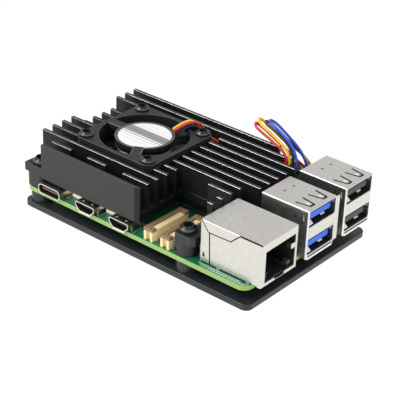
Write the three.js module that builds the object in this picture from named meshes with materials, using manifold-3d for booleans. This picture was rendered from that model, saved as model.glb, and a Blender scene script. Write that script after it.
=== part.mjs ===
// A credit-card-sized single-board computer, held between a black base plate and a finned
// black heatsink that carries a small cooling fan.
//
// Frame: origin under the board's middle, on the base plate's underside, +X along the board
// from the power socket's end to the network socket's end, +Y from the video sockets' edge to
// the pin header's edge, +Z up, millimetres.
//
// Parts are dimensioned in the board's own frame, which one group carries: x and y run from
// the board's corner beside the power socket, and z from the board's upper face.

import * as THREE from 'three';
import { mergeVertices } from 'three/addons/utils/BufferGeometryUtils.js';
import Module from 'manifold-3d';

const wasm = await Module();
wasm.setup();

// ---- Driving dimensions ----

// Circuit board
const BOARD_LENGTH = 85;
const BOARD_WIDTH = 56;
const BOARD_THICKNESS = 1.5;
const BOARD_CORNER = 3;
const HOLE_INSET = 3.5;
const HOLE_PITCH_X = 58;
const HOLE_PITCH_Y = 49;
const HOLE_RADIUS = 1.35;

// Base plate
const PLATE_LENGTH = 86.8;
const PLATE_WIDTH = 56.8;
const PLATE_THICKNESS = 2;
const PLATE_SHIFT = 0.4;
const PLATE_CORNER = 2;
const PLATE_BEVEL = 0.3;
const STANDOFF_HEIGHT = 3.7;
const STANDOFF_RADIUS = 3.2;
const CARD_NOTCH_WIDTH = 14;
const CARD_NOTCH_DEPTH = 5;

// Heatsink
const SINK_BOTTOM = 4.3;
const SINK_FLOOR = 7.1;
const SINK_LEFT = -0.5;
const SINK_BACK = 49.7;
const SINK_RIGHT = 70;
const ARM_RIGHT = 66;
const FIN_TOP = 15.1;
const LOW_FIN_TOP = 12.7;
const LOW_FIN_LEFT = 0.8;
const FIN_FIRST = 0.05;
const FIN_PITCH = 4.02;
const FIN_THICKNESS = 1.1;
const FRONT_WALL_Y = 0.35;
const FRONT_WALL_BOTTOM = 4;
const CAMERA_CUT_LEFT = 45.7;
const CAMERA_CUT_RIGHT = 57.7;
const CAMERA_CUT_BACK = 20;
const EAR_LEFT = 58.6;
const EAR_FRONT = 0.2;
const EAR_BACK = 6.8;
const EAR_ARM_LEFT = 62;
const SINK_RIGHT_FRONT = 19.6;
const SINK_RIGHT_BACK = 45.8;
const CORNER_LEFT = 6.7;
const CORNER_RIGHT = 58.4;
const POCKET_LEFT = 9.9;
const POCKET_RIGHT = 40.7;
const CABLE_GAP_RIGHT = 41.6;
const FIN_OVERLAP = 0.5;
const POST_RADIUS = 3.2;
const CORNER_POST_RADIUS = 1.5;
const PILLAR_RADIUS = 2.4;
const THREAD_RADIUS = 1.3;
const THREAD_BOTTOM = 5.5;
const PAD_THICKNESS = 0.5;
const PAD_MARGIN = 0.5;

// Fan
const FAN_X = 25.4;
const FAN_Y = 25.2;
const FAN_SIZE = 30;
const FAN_CORNER = 3;
const FAN_TOP = 16.3;
const FAN_THICKNESS = 7;
const FAN_BORE_RADIUS = 13.7;
const FAN_HOLE_OFFSET = 12.25;
const MOTOR_BASE_RADIUS = 9.1;
const MOTOR_BASE_TOP = 16.1;
const MOTOR_BASE_BOTTOM = 14.2;
const LABEL_RADIUS = 8.1;
const LABEL_THICKNESS = 0.15;
const STRUT_WIDTH = 3.2;
const STRUT_LENGTH = 6;
const STRUT_MIDDLE = 11;
const CABLE_STRUT_TOP = 15;
const ROTOR_RADIUS = 8.6;
const ROTOR_BOTTOM = 9.9;
const ROTOR_TOP = 13.9;
const ROTOR_WALL = 0.6;
const ROTOR_FLOOR = 0.7;
const BLADE_TIP_RADIUS = 13.1;
const BLADE_COUNT = 7;
const SHAFT_RADIUS = 0.75;
const BEARING_RADIUS = 2.2;
const BEARING_BOTTOM = 11.3;
const COIL_RADIUS = 6.3;

// Screws
const CASE_HEAD_RADIUS = 2.6;
const CASE_HEAD_HEIGHT = 1.9;
const FAN_HEAD_RADIUS = 2.2;
const FAN_HEAD_HEIGHT = 1.3;
const SHANK_RADIUS = 1.15;

// Cable
const CABLE_NOTCH_LEFT = 31;
const CABLE_NOTCH_RIGHT = 34.9;
const CABLE_NOTCH_DEPTH = 3.2;
const CABLE_NOTCH_FLOOR = 13.8;
const WIRE_RADIUS = 0.5;
const WIRE_PITCH = 1.2;
const GROOVE_Y = 43.1;
const GROOVE_Z = 10.6;
const FAN_SOCKET = [66.95, 69.95, 46.2, 53.2, 0, 4.2];
const FAN_SOCKET_WALL = 0.45;
const PLUG_TOP = 5.4;

// Sockets. A box is [x low, x high, y low, y high, z low, z high].
const NETWORK_SOCKET = [66.9, 88.2, 2.2, 18.2, 0, 13.5];
const USB3_SOCKET = [71.7, 88.2, 22.5, 35.7, 0, 15.5];
const USB2_SOCKET = [71.7, 88.2, 40.4, 53.6, 0, 15.5];
const SHELL_WALL = 0.4;
const INSERT_GAP = 0.15;
const PLUG_DEPTH = 14;
const USB_LEVELS = [1.5, 9.5];
const USB_OPENING_HEIGHT = 5.4;
const USB_BACK_DEPTH = 6;
const POWER_SOCKET_X = 11.2;
const POWER_SOCKET_FRONT = -1.2;
const POWER_SOCKET_BACK = 6.1;
const POWER_SOCKET_HALF = 4.45;
const POWER_SOCKET_HEIGHT = 3.2;
const VIDEO_SOCKET_X = [25.8, 39.2];
const VIDEO_SOCKET_FRONT = -1;
const VIDEO_SOCKET_BACK = 6;
const VIDEO_SOCKET_HALF = 3.7;
const VIDEO_SOCKET_HEIGHT = 3;
const VIDEO_SOCKET_TAPER = 1.5;
const SMALL_SHELL_WALL = 0.3;
const SMALL_SOCKET_FRONT = 3.9;
const SMALL_SOCKET_BACK = 7.6;
const SMALL_SOCKET_HEIGHT = 2.9;
const CAMERA_SOCKET_X = [47.8, 54];
const CAMERA_SOCKET_WIDTH = 3.4;
const CAMERA_SOCKET_FRONT = 0.3;
const CAMERA_SOCKET_BACK = 15.9;
const CAMERA_SOCKET_TOP = 3;
const CAMERA_LEG_DEPTH = 0.9;
const EXPANSION_SOCKET = [1.6, 4.8, 7.6, 17.4];
const EXPANSION_SOCKET_TOP = 2;
const LATCH_THICKNESS = 0.95;
const LATCH_GAP = 0.1;
const LATCH_OVERHANG = 0.1;
const LATCH_KEY_WIDTH = 0.6;
const RIBBON_SLOT_WIDTH = 0.8;
const RIBBON_SLOT_MARGIN = 1.2;
const CARD_SLOT = [1, 15.5];
const CARD_SLOT_HALF = 6;
const CARD_SLOT_HEIGHT = 1.4;
const CARD_SLOT_WALL = 0.3;
const HEADER_LEFT = 7.1;
const HEADER_FRONT = 49.95;
const HEADER_PITCH = 2.54;
const HEADER_COLUMNS = 20;
const HEADER_BAR_HEIGHT = 2.5;
const PIN_HALF = 0.32;
const PIN_TOP = 8.5;

// Power button
const BUTTON_Y = 20.2;
const BUTTON_TRAVEL = 0.3;
const BUTTON_HALF = 0.9;
const BUTTON_GAP = 0.1;

const ROUND = 24;
const BOARD_TOP = PLATE_THICKNESS + STANDOFF_HEIGHT + BOARD_THICKNESS;
const PLATE_UNDERSIDE = -BOARD_TOP;
const FAN_BOTTOM = FAN_TOP - FAN_THICKNESS;
const LABEL_SEAT = MOTOR_BASE_TOP - 2 * LABEL_THICKNESS;

// ---- Materials ----

const material = (color, roughness, metalness = 0) =>
  new THREE.MeshStandardMaterial({ color, roughness, metalness });

const anodised = material(0x2b2c2e, 0.45, 0.5);
const platedSteel = material(0xc4c2bc, 0.35, 0.9);
const blackSteel = material(0x1c1c1e, 0.4, 0.8);
const brightSteel = material(0xd0d0d0, 0.25, 1);
const boardGreen = material(0x0d6b41, 0.4);
const blackPlastic = material(0x18191a, 0.55);
const fanPlastic = material(0x242527, 0.5);
const creamPlastic = material(0xe8dfc2, 0.5);
const brownPlastic = material(0x6b4a32, 0.5);
const bluePlastic = material(0x1c62d8, 0.4);
const whitePlastic = material(0xf0f0ee, 0.5);
const chipBlack = material(0x141518, 0.6);
const paper = material(0xf2f2f0, 0.7);
const padGrey = material(0x8d93a0, 0.9);
const copper = material(0xa85f32, 0.4, 0.8);
const magnetBlack = material(0x202022, 0.8);
const bronze = material(0x9b7a45, 0.4, 0.9);
const wireYellow = material(0xf0c419, 0.45);
const wireRed = material(0xc22b28, 0.45);
const wireBlack = material(0x1b1b1b, 0.45);
const wireBlue = material(0x2348b8, 0.45);

// ---- Solid helpers ----

function solidFrom(geometry) {
  geometry.deleteAttribute('normal');
  geometry.deleteAttribute('uv');
  const merged = mergeVertices(geometry, 1e-4);
  return new wasm.Manifold(new wasm.Mesh({
    numProp: 3,
    vertProperties: new Float32Array(merged.attributes.position.array),
    triVerts: new Uint32Array(merged.index.array),
  }));
}

function geometryFrom(solid) {
  const mesh = solid.getMesh();
  const geometry = new THREE.BufferGeometry();
  geometry.setAttribute('position', new THREE.BufferAttribute(mesh.vertProperties, 3));
  geometry.setIndex(new THREE.BufferAttribute(mesh.triVerts, 1));
  geometry.computeVertexNormals();
  return geometry;
}

function block(x0, x1, y0, y1, z0, z1) {
  const geometry = new THREE.BoxGeometry(x1 - x0, y1 - y0, z1 - z0);
  geometry.translate((x0 + x1) / 2, (y0 + y1) / 2, (z0 + z1) / 2);
  return solidFrom(geometry);
}

function disc(radius, x, y, z0, z1, sides = ROUND) {
  const geometry = new THREE.CylinderGeometry(radius, radius, z1 - z0, sides);
  geometry.rotateX(Math.PI / 2);
  geometry.translate(x, y, (z0 + z1) / 2);
  return solidFrom(geometry);
}

function slab(shape, z0, z1, curveSegments = 3) {
  const geometry = new THREE.ExtrudeGeometry(shape, {
    depth: z1 - z0, bevelEnabled: false, curveSegments,
  });
  geometry.translate(0, 0, z0);
  return solidFrom(geometry);
}

function joined(solids) {
  return solids.reduce((whole, piece) => whole.add(piece));
}

function roundedRectangle(x0, x1, y0, y1, radius) {
  const shape = new THREE.Shape();
  shape.moveTo(x0 + radius, y0);
  shape.lineTo(x1 - radius, y0);
  shape.absarc(x1 - radius, y0 + radius, radius, -Math.PI / 2, 0);
  shape.lineTo(x1, y1 - radius);
  shape.absarc(x1 - radius, y1 - radius, radius, 0, Math.PI / 2);
  shape.lineTo(x0 + radius, y1);
  shape.absarc(x0 + radius, y1 - radius, radius, Math.PI / 2, Math.PI);
  shape.lineTo(x0, y0 + radius);
  shape.absarc(x0 + radius, y0 + radius, radius, Math.PI, Math.PI * 1.5);
  return shape;
}

function polygon(points) {
  return new THREE.Shape(points.map(([x, y]) => new THREE.Vector2(x, y)));
}

const boardHoles = [0, 1].flatMap((row) => [0, 1].map((column) => [
  HOLE_INSET + column * HOLE_PITCH_X,
  HOLE_INSET + row * HOLE_PITCH_Y,
]));

const fanHoles = [-1, 1].flatMap((row) => [-1, 1].map((column) => [
  FAN_X + column * FAN_HOLE_OFFSET,
  FAN_Y + row * FAN_HOLE_OFFSET,
]));

// ---- The object as a scene graph ----

const computer = new THREE.Group();
const board = new THREE.Group();
board.position.set(-BOARD_LENGTH / 2, -BOARD_WIDTH / 2, BOARD_TOP);
computer.add(board);

function place(name, solid, finish) {
  const mesh = new THREE.Mesh(geometryFrom(solid), finish);
  mesh.name = name;
  board.add(mesh);
}

// ---- Base plate ----

function basePlate() {
  const overhangX = (PLATE_LENGTH - BOARD_LENGTH) / 2 - PLATE_BEVEL;
  const overhangY = (PLATE_WIDTH - BOARD_WIDTH) / 2 - PLATE_BEVEL;
  const outline = roundedRectangle(
    PLATE_SHIFT - overhangX, PLATE_SHIFT + BOARD_LENGTH + overhangX,
    -overhangY, BOARD_WIDTH + overhangY, PLATE_CORNER,
  );
  const geometry = new THREE.ExtrudeGeometry(outline, {
    depth: PLATE_THICKNESS - 2 * PLATE_BEVEL, curveSegments: 3,
    bevelSize: PLATE_BEVEL, bevelThickness: PLATE_BEVEL, bevelSegments: 1,
  });
  geometry.translate(0, 0, PLATE_UNDERSIDE + PLATE_BEVEL);
  let plate = solidFrom(geometry);
  for (const [x, y] of boardHoles) {
    plate = plate.add(disc(STANDOFF_RADIUS, x, y, PLATE_UNDERSIDE + 1, -BOARD_THICKNESS));
    plate = plate.subtract(disc(HOLE_RADIUS, x, y, PLATE_UNDERSIDE - 1, 0));
  }
  const middle = BOARD_WIDTH / 2;
  const notch = roundedRectangle(
    -9, CARD_NOTCH_DEPTH, middle - CARD_NOTCH_WIDTH / 2, middle + CARD_NOTCH_WIDTH / 2, 2,
  );
  return plate.subtract(slab(notch, PLATE_UNDERSIDE - 1, 0));
}
place('base_plate', basePlate(), anodised);

// ---- Circuit board ----

function circuitBoard() {
  const outline = roundedRectangle(0, BOARD_LENGTH, 0, BOARD_WIDTH, BOARD_CORNER);
  const bare = slab(outline, -BOARD_THICKNESS, 0);
  return boardHoles.reduce((whole, [x, y]) => (
    whole.subtract(disc(HOLE_RADIUS, x, y, -BOARD_THICKNESS - 1, 1))
  ), bare);
}
place('circuit_board', circuitBoard(), boardGreen);

// ---- Chips and their thermal pads ----

// Each chip is [name, centre x, centre y, size x, size y, height, finish].
const chips = [
  ['processor', 31.5, 28.5, 17, 17, 2.4, brightSteel],
  ['memory_chip', 49.4, 28.5, 12.4, 14.5, 1, chipBlack],
  ['io_controller', 62.6, 30, 13, 13, 1.3, chipBlack],
  ['power_chip', 17.5, 14, 7, 7, 0.9, chipBlack],
  ['wireless_module', 10.2, 41.6, 12, 10, 1.8, brightSteel],
];
for (const [name, x, y, sizeX, sizeY, height, finish] of chips) {
  place(name, block(x - sizeX / 2, x + sizeX / 2, y - sizeY / 2, y + sizeY / 2, 0, height), finish);
}

// The first four chips pass heat to the heatsink through a soft pad.
const cooledChips = chips.slice(0, 4);
for (const [name, x, y, sizeX, sizeY, height] of cooledChips) {
  const halfX = sizeX / 2 - PAD_MARGIN;
  const halfY = sizeY / 2 - PAD_MARGIN;
  const pad = block(x - halfX, x + halfX, y - halfY, y + halfY, height, height + PAD_THICKNESS);
  place(`${name}_pad`, pad, padGrey);
}

// ---- Heatsink ----

// Each fin is [row, from x, to x] with an optional top height.
const fins = [
  [1, 7.4, 15.4], [1, 22, 29.2], [1, 36, CAMERA_CUT_LEFT],
  [2, SINK_LEFT, CAMERA_CUT_LEFT], [2, 64.2, ARM_RIGHT],
  ...[3, 4].flatMap((row) => [
    [row, SINK_LEFT, POCKET_LEFT], [row, POCKET_RIGHT, CAMERA_CUT_LEFT],
  ]),
  [3, 64.2, ARM_RIGHT], [4, CAMERA_CUT_RIGHT, ARM_RIGHT],
  [5, SINK_LEFT, POCKET_LEFT], [5, POCKET_RIGHT, ARM_RIGHT],
  ...[6, 7, 8, 9].flatMap((row) => [
    [row, LOW_FIN_LEFT, POCKET_LEFT, LOW_FIN_TOP], [row, POCKET_RIGHT, SINK_RIGHT],
  ]),
  [10, SINK_LEFT, POCKET_LEFT], [10, CABLE_GAP_RIGHT, SINK_RIGHT],
  [11, SINK_LEFT, 65.5],
  [12, SINK_LEFT, 58.2],
];

// A narrow arm joins the ear beside the camera sockets to the rest of the floor.
function sinkFloor() {
  const chamfer = 1;
  const armBack = FIN_FIRST + 4 * FIN_PITCH;
  const outline = polygon([
    [SINK_LEFT, FRONT_WALL_Y], [CAMERA_CUT_LEFT, FRONT_WALL_Y],
    [CAMERA_CUT_LEFT, CAMERA_CUT_BACK], [CAMERA_CUT_RIGHT, CAMERA_CUT_BACK],
    [CAMERA_CUT_RIGHT, armBack], [EAR_ARM_LEFT, armBack], [EAR_ARM_LEFT, EAR_BACK],
    [EAR_LEFT + chamfer, EAR_BACK], [EAR_LEFT, EAR_BACK - chamfer],
    [EAR_LEFT, EAR_FRONT + chamfer], [EAR_LEFT + chamfer, EAR_FRONT],
    [ARM_RIGHT - chamfer, EAR_FRONT], [ARM_RIGHT, EAR_FRONT + chamfer],
    [ARM_RIGHT, SINK_RIGHT_FRONT], [SINK_RIGHT, SINK_RIGHT_FRONT],
    [SINK_RIGHT, SINK_RIGHT_BACK], [ARM_RIGHT, SINK_RIGHT_BACK],
    [ARM_RIGHT, BOARD_WIDTH], [CORNER_RIGHT, BOARD_WIDTH], [CORNER_RIGHT, SINK_BACK],
    [CORNER_LEFT, SINK_BACK], [CORNER_LEFT, BOARD_WIDTH], [SINK_LEFT, BOARD_WIDTH],
  ]);
  return slab(outline, SINK_BOTTOM, SINK_FLOOR);
}

function fin([row, fromX, toX, top = FIN_TOP]) {
  const front = FIN_FIRST + row * FIN_PITCH;
  return block(fromX, toX, front, front + FIN_THICKNESS, SINK_FLOOR - FIN_OVERLAP, top);
}

// The two posts at the power socket's end are rounded blocks, and the other two are round.
function sinkPost([x, y]) {
  if (x > BOARD_LENGTH / 2) return disc(POST_RADIUS, x, y, 0, SINK_FLOOR);
  const outline = roundedRectangle(
    x - POST_RADIUS, x + POST_RADIUS, y - POST_RADIUS, y + POST_RADIUS, CORNER_POST_RADIUS,
  );
  return slab(outline, 0, SINK_FLOOR);
}

function heatsink() {
  const frontWall = block(
    6.6, CAMERA_CUT_LEFT, FRONT_WALL_Y, FRONT_WALL_Y + FIN_THICKNESS, FRONT_WALL_BOTTOM, FIN_TOP,
  );
  const posts = boardHoles.map(sinkPost);
  const fanPillars = fanHoles.map(([x, y]) => (
    disc(PILLAR_RADIUS, x, y, SINK_FLOOR - FIN_OVERLAP, FAN_BOTTOM)
  ));
  const pedestals = cooledChips.map(([, x, y, sizeX, sizeY, height]) => block(
    x - sizeX / 2, x + sizeX / 2, y - sizeY / 2, y + sizeY / 2,
    height + PAD_THICKNESS, SINK_BOTTOM + FIN_OVERLAP,
  ));
  const body = joined([
    sinkFloor(), frontWall, ...fins.map(fin), ...posts, ...fanPillars, ...pedestals,
  ]);
  const caseHoles = boardHoles.map(([x, y]) => disc(HOLE_RADIUS, x, y, -1, SINK_FLOOR + 1));
  const screwHoles = fanHoles.map(([x, y]) => (
    disc(THREAD_RADIUS, x, y, THREAD_BOTTOM, FAN_BOTTOM + 1)
  ));
  return body.subtract(joined([...caseHoles, ...screwHoles]));
}
place('heatsink', heatsink(), anodised);

// ---- Screws ----

function socketScrew(x, y, seat, headRadius, headHeight, shankLength) {
  const socketRadius = headRadius * 0.5;
  const profile = [
    [0, 0], [headRadius, 0], [headRadius, headHeight * 0.45], [headRadius * 0.92, headHeight * 0.8],
    [headRadius * 0.75, headHeight], [0, headHeight],
  ];
  const geometry = new THREE.LatheGeometry(profile.map(([r, z]) => new THREE.Vector2(r, z)), ROUND);
  geometry.rotateX(Math.PI / 2);
  geometry.translate(x, y, seat);
  const head = solidFrom(geometry);
  const shank = disc(SHANK_RADIUS, x, y, seat - shankLength, seat + 0.2, 12);
  const socket = disc(socketRadius, x, y, seat + headHeight * 0.4, seat + headHeight + 1, 6);
  return head.add(shank).subtract(socket);
}

boardHoles.forEach(([x, y], index) => {
  const shankLength = SINK_FLOOR - PLATE_UNDERSIDE - 0.4;
  const screw = socketScrew(x, y, SINK_FLOOR, CASE_HEAD_RADIUS, CASE_HEAD_HEIGHT, shankLength);
  place(`case_screw_${index + 1}`, screw, blackSteel);
});

fanHoles.forEach(([x, y], index) => {
  const screw = socketScrew(x, y, FAN_TOP, FAN_HEAD_RADIUS, FAN_HEAD_HEIGHT, FAN_THICKNESS + 2);
  place(`fan_screw_${index + 1}`, screw, blackSteel);
});

// ---- Fan ----

function strut(angle, top) {
  const geometry = new THREE.BoxGeometry(STRUT_LENGTH, STRUT_WIDTH, top - MOTOR_BASE_BOTTOM);
  geometry.translate(STRUT_MIDDLE, 0, (top + MOTOR_BASE_BOTTOM) / 2);
  geometry.rotateZ(angle);
  geometry.translate(FAN_X, FAN_Y, 0);
  return solidFrom(geometry);
}

function fanFrame() {
  const half = FAN_SIZE / 2;
  const outline = roundedRectangle(
    FAN_X - half, FAN_X + half, FAN_Y - half, FAN_Y + half, FAN_CORNER,
  );
  const ring = slab(outline, FAN_BOTTOM, FAN_TOP)
    .subtract(disc(FAN_BORE_RADIUS, FAN_X, FAN_Y, FAN_BOTTOM - 1, FAN_TOP + 1, 48));
  const motorBase = disc(MOTOR_BASE_RADIUS, FAN_X, FAN_Y, MOTOR_BASE_BOTTOM, MOTOR_BASE_TOP, 36);
  const recess = disc(LABEL_RADIUS + 0.1, FAN_X, FAN_Y, LABEL_SEAT, FAN_TOP, 36);
  const body = joined([
    ring, motorBase,
    strut(Math.PI, MOTOR_BASE_TOP), strut(-Math.PI / 3, MOTOR_BASE_TOP),
    strut(Math.PI / 3, CABLE_STRUT_TOP),
  ]);
  const holes = fanHoles.map(([x, y]) => disc(HOLE_RADIUS, x, y, FAN_BOTTOM - 1, FAN_TOP + 1));
  const backEdge = FAN_Y + half;
  const cableNotch = block(
    CABLE_NOTCH_LEFT, CABLE_NOTCH_RIGHT, backEdge - CABLE_NOTCH_DEPTH, backEdge + 1,
    CABLE_NOTCH_FLOOR, FAN_TOP + 1,
  );
  return body.subtract(joined([recess, cableNotch, ...holes]));
}
place('fan_frame', fanFrame(), fanPlastic);

const labelDisc = disc(LABEL_RADIUS, FAN_X, FAN_Y, LABEL_SEAT, LABEL_SEAT + LABEL_THICKNESS, 36);
place('fan_label', labelDisc, paper);

// A blade is a curved band swept between two radii, climbing as it turns about the shaft.
function blade(startAngle) {
  const stations = 5;
  const sweep = 0.62;
  const rise = 3;
  const thickness = 0.55;
  const positions = [];
  for (let i = 0; i < stations; i += 1) {
    const t = i / (stations - 1);
    const z = ROTOR_BOTTOM + 0.25 + rise * t * t * 0.4 + rise * t * 0.6;
    for (const [radius, lift] of [
      [ROTOR_RADIUS - 0.3, 0], [BLADE_TIP_RADIUS, 0],
      [BLADE_TIP_RADIUS, thickness], [ROTOR_RADIUS - 0.3, thickness],
    ]) {
      const lean = radius > ROTOR_RADIUS ? 0.16 : 0;
      const angle = startAngle + sweep * t + lean;
      positions.push(
        FAN_X + radius * Math.cos(angle), FAN_Y + radius * Math.sin(angle), z + lift,
      );
    }
  }
  const faces = [];
  const quad = (a, b, c, d) => faces.push(a, b, c, a, c, d);
  quad(0, 1, 2, 3);
  for (let i = 0; i < stations - 1; i += 1) {
    for (let corner = 0; corner < 4; corner += 1) {
      const next = (corner + 1) % 4;
      quad(4 * i + corner, 4 * i + 4 + corner, 4 * i + 4 + next, 4 * i + next);
    }
  }
  const last = 4 * (stations - 1);
  quad(last + 3, last + 2, last + 1, last);
  const geometry = new THREE.BufferGeometry();
  geometry.setAttribute('position', new THREE.Float32BufferAttribute(positions, 3));
  geometry.setIndex(faces);
  return solidFrom(geometry);
}

const cupFloor = ROTOR_BOTTOM + ROTOR_FLOOR;

function fanRotor() {
  const cup = disc(ROTOR_RADIUS, FAN_X, FAN_Y, ROTOR_BOTTOM, ROTOR_TOP, 36)
    .subtract(disc(ROTOR_RADIUS - ROTOR_WALL, FAN_X, FAN_Y, cupFloor, ROTOR_TOP + 1, 36));
  const blades = Array.from({ length: BLADE_COUNT }, (_, i) => blade(2 * Math.PI * i / BLADE_COUNT));
  return joined([cup, ...blades]);
}
place('fan_rotor', fanRotor(), fanPlastic);

function tube(outer, inner, z0, z1) {
  return disc(outer, FAN_X, FAN_Y, z0, z1)
    .subtract(disc(inner, FAN_X, FAN_Y, z0 - 1, z1 + 1));
}
const magnetOuter = ROTOR_RADIUS - ROTOR_WALL - 0.2;
const magnet = tube(magnetOuter, magnetOuter - 0.8, cupFloor, ROTOR_TOP - 0.3);
place('fan_magnet', magnet, magnetBlack);
const shaft = disc(SHAFT_RADIUS, FAN_X, FAN_Y, cupFloor, ROTOR_TOP - 0.1, 16);
place('fan_shaft', shaft, brightSteel);
const bearing = tube(BEARING_RADIUS, SHAFT_RADIUS + 0.1, BEARING_BOTTOM, MOTOR_BASE_BOTTOM);
place('fan_bearing', bearing, bronze);
const coils = tube(COIL_RADIUS, BEARING_RADIUS + 0.1, BEARING_BOTTOM, MOTOR_BASE_BOTTOM);
place('fan_coils', coils, copper);

// ---- Box-shaped sockets with a thin metal shell ----

function windowedShell([x0, x1, y0, y1, z0, z1], openings) {
  const outer = block(x0, x1, y0, y1, z0, z1);
  const inner = block(
    x0 + SHELL_WALL, x1 - SHELL_WALL, y0 + SHELL_WALL, y1 - SHELL_WALL,
    z0 + SHELL_WALL, z1 - SHELL_WALL,
  );
  const windows = openings.map(([yLow, yHigh, zLow, zHigh]) => (
    block(x1 - SHELL_WALL - 0.1, x1 + 1, yLow, yHigh, zLow, zHigh)
  ));
  return outer.subtract(joined([inner, ...windows]));
}

function networkSocket() {
  const [x0, x1, y0, y1, z0, z1] = NETWORK_SOCKET;
  const opening = [y0 + 1.7, y1 - 1.1, z0 + 1.1, z0 + 10.9];
  const inset = SHELL_WALL + INSERT_GAP;
  const insert = block(x0 + inset, x1 - inset, y0 + inset, y1 - inset, z0 + inset, z1 - inset)
    .subtract(block(x1 - PLUG_DEPTH, x1, ...opening));
  place('network_socket_shell', windowedShell(NETWORK_SOCKET, [opening]), platedSteel);
  place('network_socket_insert', insert, blackPlastic);
}
networkSocket();

// A double-decker socket holds an insulator with one tongue for each of its two openings.
function doubleSocket(name, size, tongueFinish) {
  const [x0, x1, y0, y1, z0, z1] = size;
  const openings = USB_LEVELS.map((z) => [y0 + 0.7, y1 - 0.7, z, z + USB_OPENING_HEIGHT]);
  const inset = SHELL_WALL + INSERT_GAP;
  const root = x0 + USB_BACK_DEPTH;
  const back = block(x0 + inset, root, y0 + inset, y1 - inset, z0 + inset, z1 - inset);
  const [lower, upper] = USB_LEVELS;
  const middle = block(
    root - 1, x1 - inset, y0 + inset, y1 - inset, lower + USB_OPENING_HEIGHT, upper,
  );
  const floor = block(root - 1, x1 - inset, y0 + inset, y1 - inset, z0 + inset, lower);
  const tongues = USB_LEVELS.map((z) => {
    const top = z + USB_OPENING_HEIGHT - 0.7;
    return block(root - 1, x1 - 0.9, y0 + 1.8, y1 - 1.8, top - 1.9, top);
  });
  place(`${name}_shell`, windowedShell(size, openings), platedSteel);
  place(`${name}_insert`, joined([back, middle, floor, ...tongues]), tongueFinish);
}
doubleSocket('usb3_socket', USB3_SOCKET, bluePlastic);
doubleSocket('usb2_socket', USB2_SOCKET, blackPlastic);

// ---- Small sockets on the front edge ----

function frontSlab(shape, y0, y1) {
  const geometry = new THREE.ExtrudeGeometry(shape, {
    depth: y1 - y0, bevelEnabled: false, curveSegments: 3,
  });
  geometry.rotateX(Math.PI / 2);
  geometry.translate(0, y1, 0);
  return solidFrom(geometry);
}

function powerSocket() {
  const wall = SMALL_SHELL_WALL;
  const left = POWER_SOCKET_X - POWER_SOCKET_HALF;
  const right = POWER_SOCKET_X + POWER_SOCKET_HALF;
  const outer = roundedRectangle(left, right, 0, POWER_SOCKET_HEIGHT, 1.2);
  const inner = roundedRectangle(
    left + wall, right - wall, wall, POWER_SOCKET_HEIGHT - wall, 0.95,
  );
  const shell = frontSlab(outer, POWER_SOCKET_FRONT, POWER_SOCKET_BACK)
    .subtract(frontSlab(inner, POWER_SOCKET_FRONT - 1, POWER_SOCKET_BACK - wall));
  const middle = POWER_SOCKET_HEIGHT / 2;
  const tongue = joined([
    block(POWER_SOCKET_X - 3.35, POWER_SOCKET_X + 3.35, -0.4, 4.8, middle - 0.35, middle + 0.35),
    block(POWER_SOCKET_X - 3.35, POWER_SOCKET_X + 3.35, 4.6, 5.6, middle - 1.2, middle + 1.2),
  ]);
  place('power_socket_shell', shell, platedSteel);
  place('power_socket_tongue', tongue, blackPlastic);
}
powerSocket();

// The opening narrows towards the board, as a video plug does.
function videoOutline(x, half, low, high, taper) {
  return polygon([
    [x - half + taper, low], [x + half - taper, low], [x + half, low + taper],
    [x + half, high], [x - half, high], [x - half, low + taper],
  ]);
}

VIDEO_SOCKET_X.forEach((x, index) => {
  const wall = SMALL_SHELL_WALL;
  const outer = videoOutline(x, VIDEO_SOCKET_HALF, 0, VIDEO_SOCKET_HEIGHT, VIDEO_SOCKET_TAPER);
  const inner = videoOutline(
    x, VIDEO_SOCKET_HALF - wall, wall, VIDEO_SOCKET_HEIGHT - wall, VIDEO_SOCKET_TAPER - wall / 2,
  );
  const shell = frontSlab(outer, VIDEO_SOCKET_FRONT, VIDEO_SOCKET_BACK)
    .subtract(frontSlab(inner, VIDEO_SOCKET_FRONT - 1, VIDEO_SOCKET_BACK - wall));
  const tongue = joined([
    block(x - 2.3, x + 2.3, 0, 4.8, 1.35, 1.95),
    block(x - 2.2, x + 2.2, 4.6, 5.5, 0.75, 2.5),
  ]);
  place(`video_socket_${index}_shell`, shell, platedSteel);
  place(`video_socket_${index}_tongue`, tongue, blackPlastic);
});

// A small wire-to-board socket that faces the board's front edge.
function smallSocket(name, x0, x1) {
  const wall = 0.5;
  const body = block(x0, x1, SMALL_SOCKET_FRONT, SMALL_SOCKET_BACK, 0, SMALL_SOCKET_HEIGHT)
    .subtract(block(
      x0 + wall, x1 - wall, SMALL_SOCKET_FRONT - 1, SMALL_SOCKET_BACK - 1.2,
      wall, SMALL_SOCKET_HEIGHT - wall,
    ));
  place(name, body, creamPlastic);
}
smallSocket('battery_socket', 16.1, 19.8);
smallSocket('debug_socket', 29.9, 34.1);

// ---- Ribbon-cable sockets with lifting latches ----

// The body is a long trough; the latch is the bar over it, with a key that presses down into
// the trough beside the ribbon.
function ribbonSocket(x0, x1, y0, y1, top, slotLeft) {
  return block(x0, x1, y0, y1, 0, top).subtract(block(
    slotLeft, slotLeft + RIBBON_SLOT_WIDTH, y0 + RIBBON_SLOT_MARGIN, y1 - RIBBON_SLOT_MARGIN,
    0.5, top + 1,
  ));
}

function ribbonLatch(x0, x1, y0, y1, seat, slotLeft) {
  const keyLeft = slotLeft + (RIBBON_SLOT_WIDTH - LATCH_KEY_WIDTH) / 2;
  const keyMargin = RIBBON_SLOT_MARGIN + 0.3;
  return joined([
    block(x0, x1, y0 - LATCH_OVERHANG, y1 + LATCH_OVERHANG, seat, seat + LATCH_THICKNESS),
    block(keyLeft, keyLeft + LATCH_KEY_WIDTH, y0 + keyMargin, y1 - keyMargin, 1.1, seat + 0.1),
  ]);
}

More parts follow.
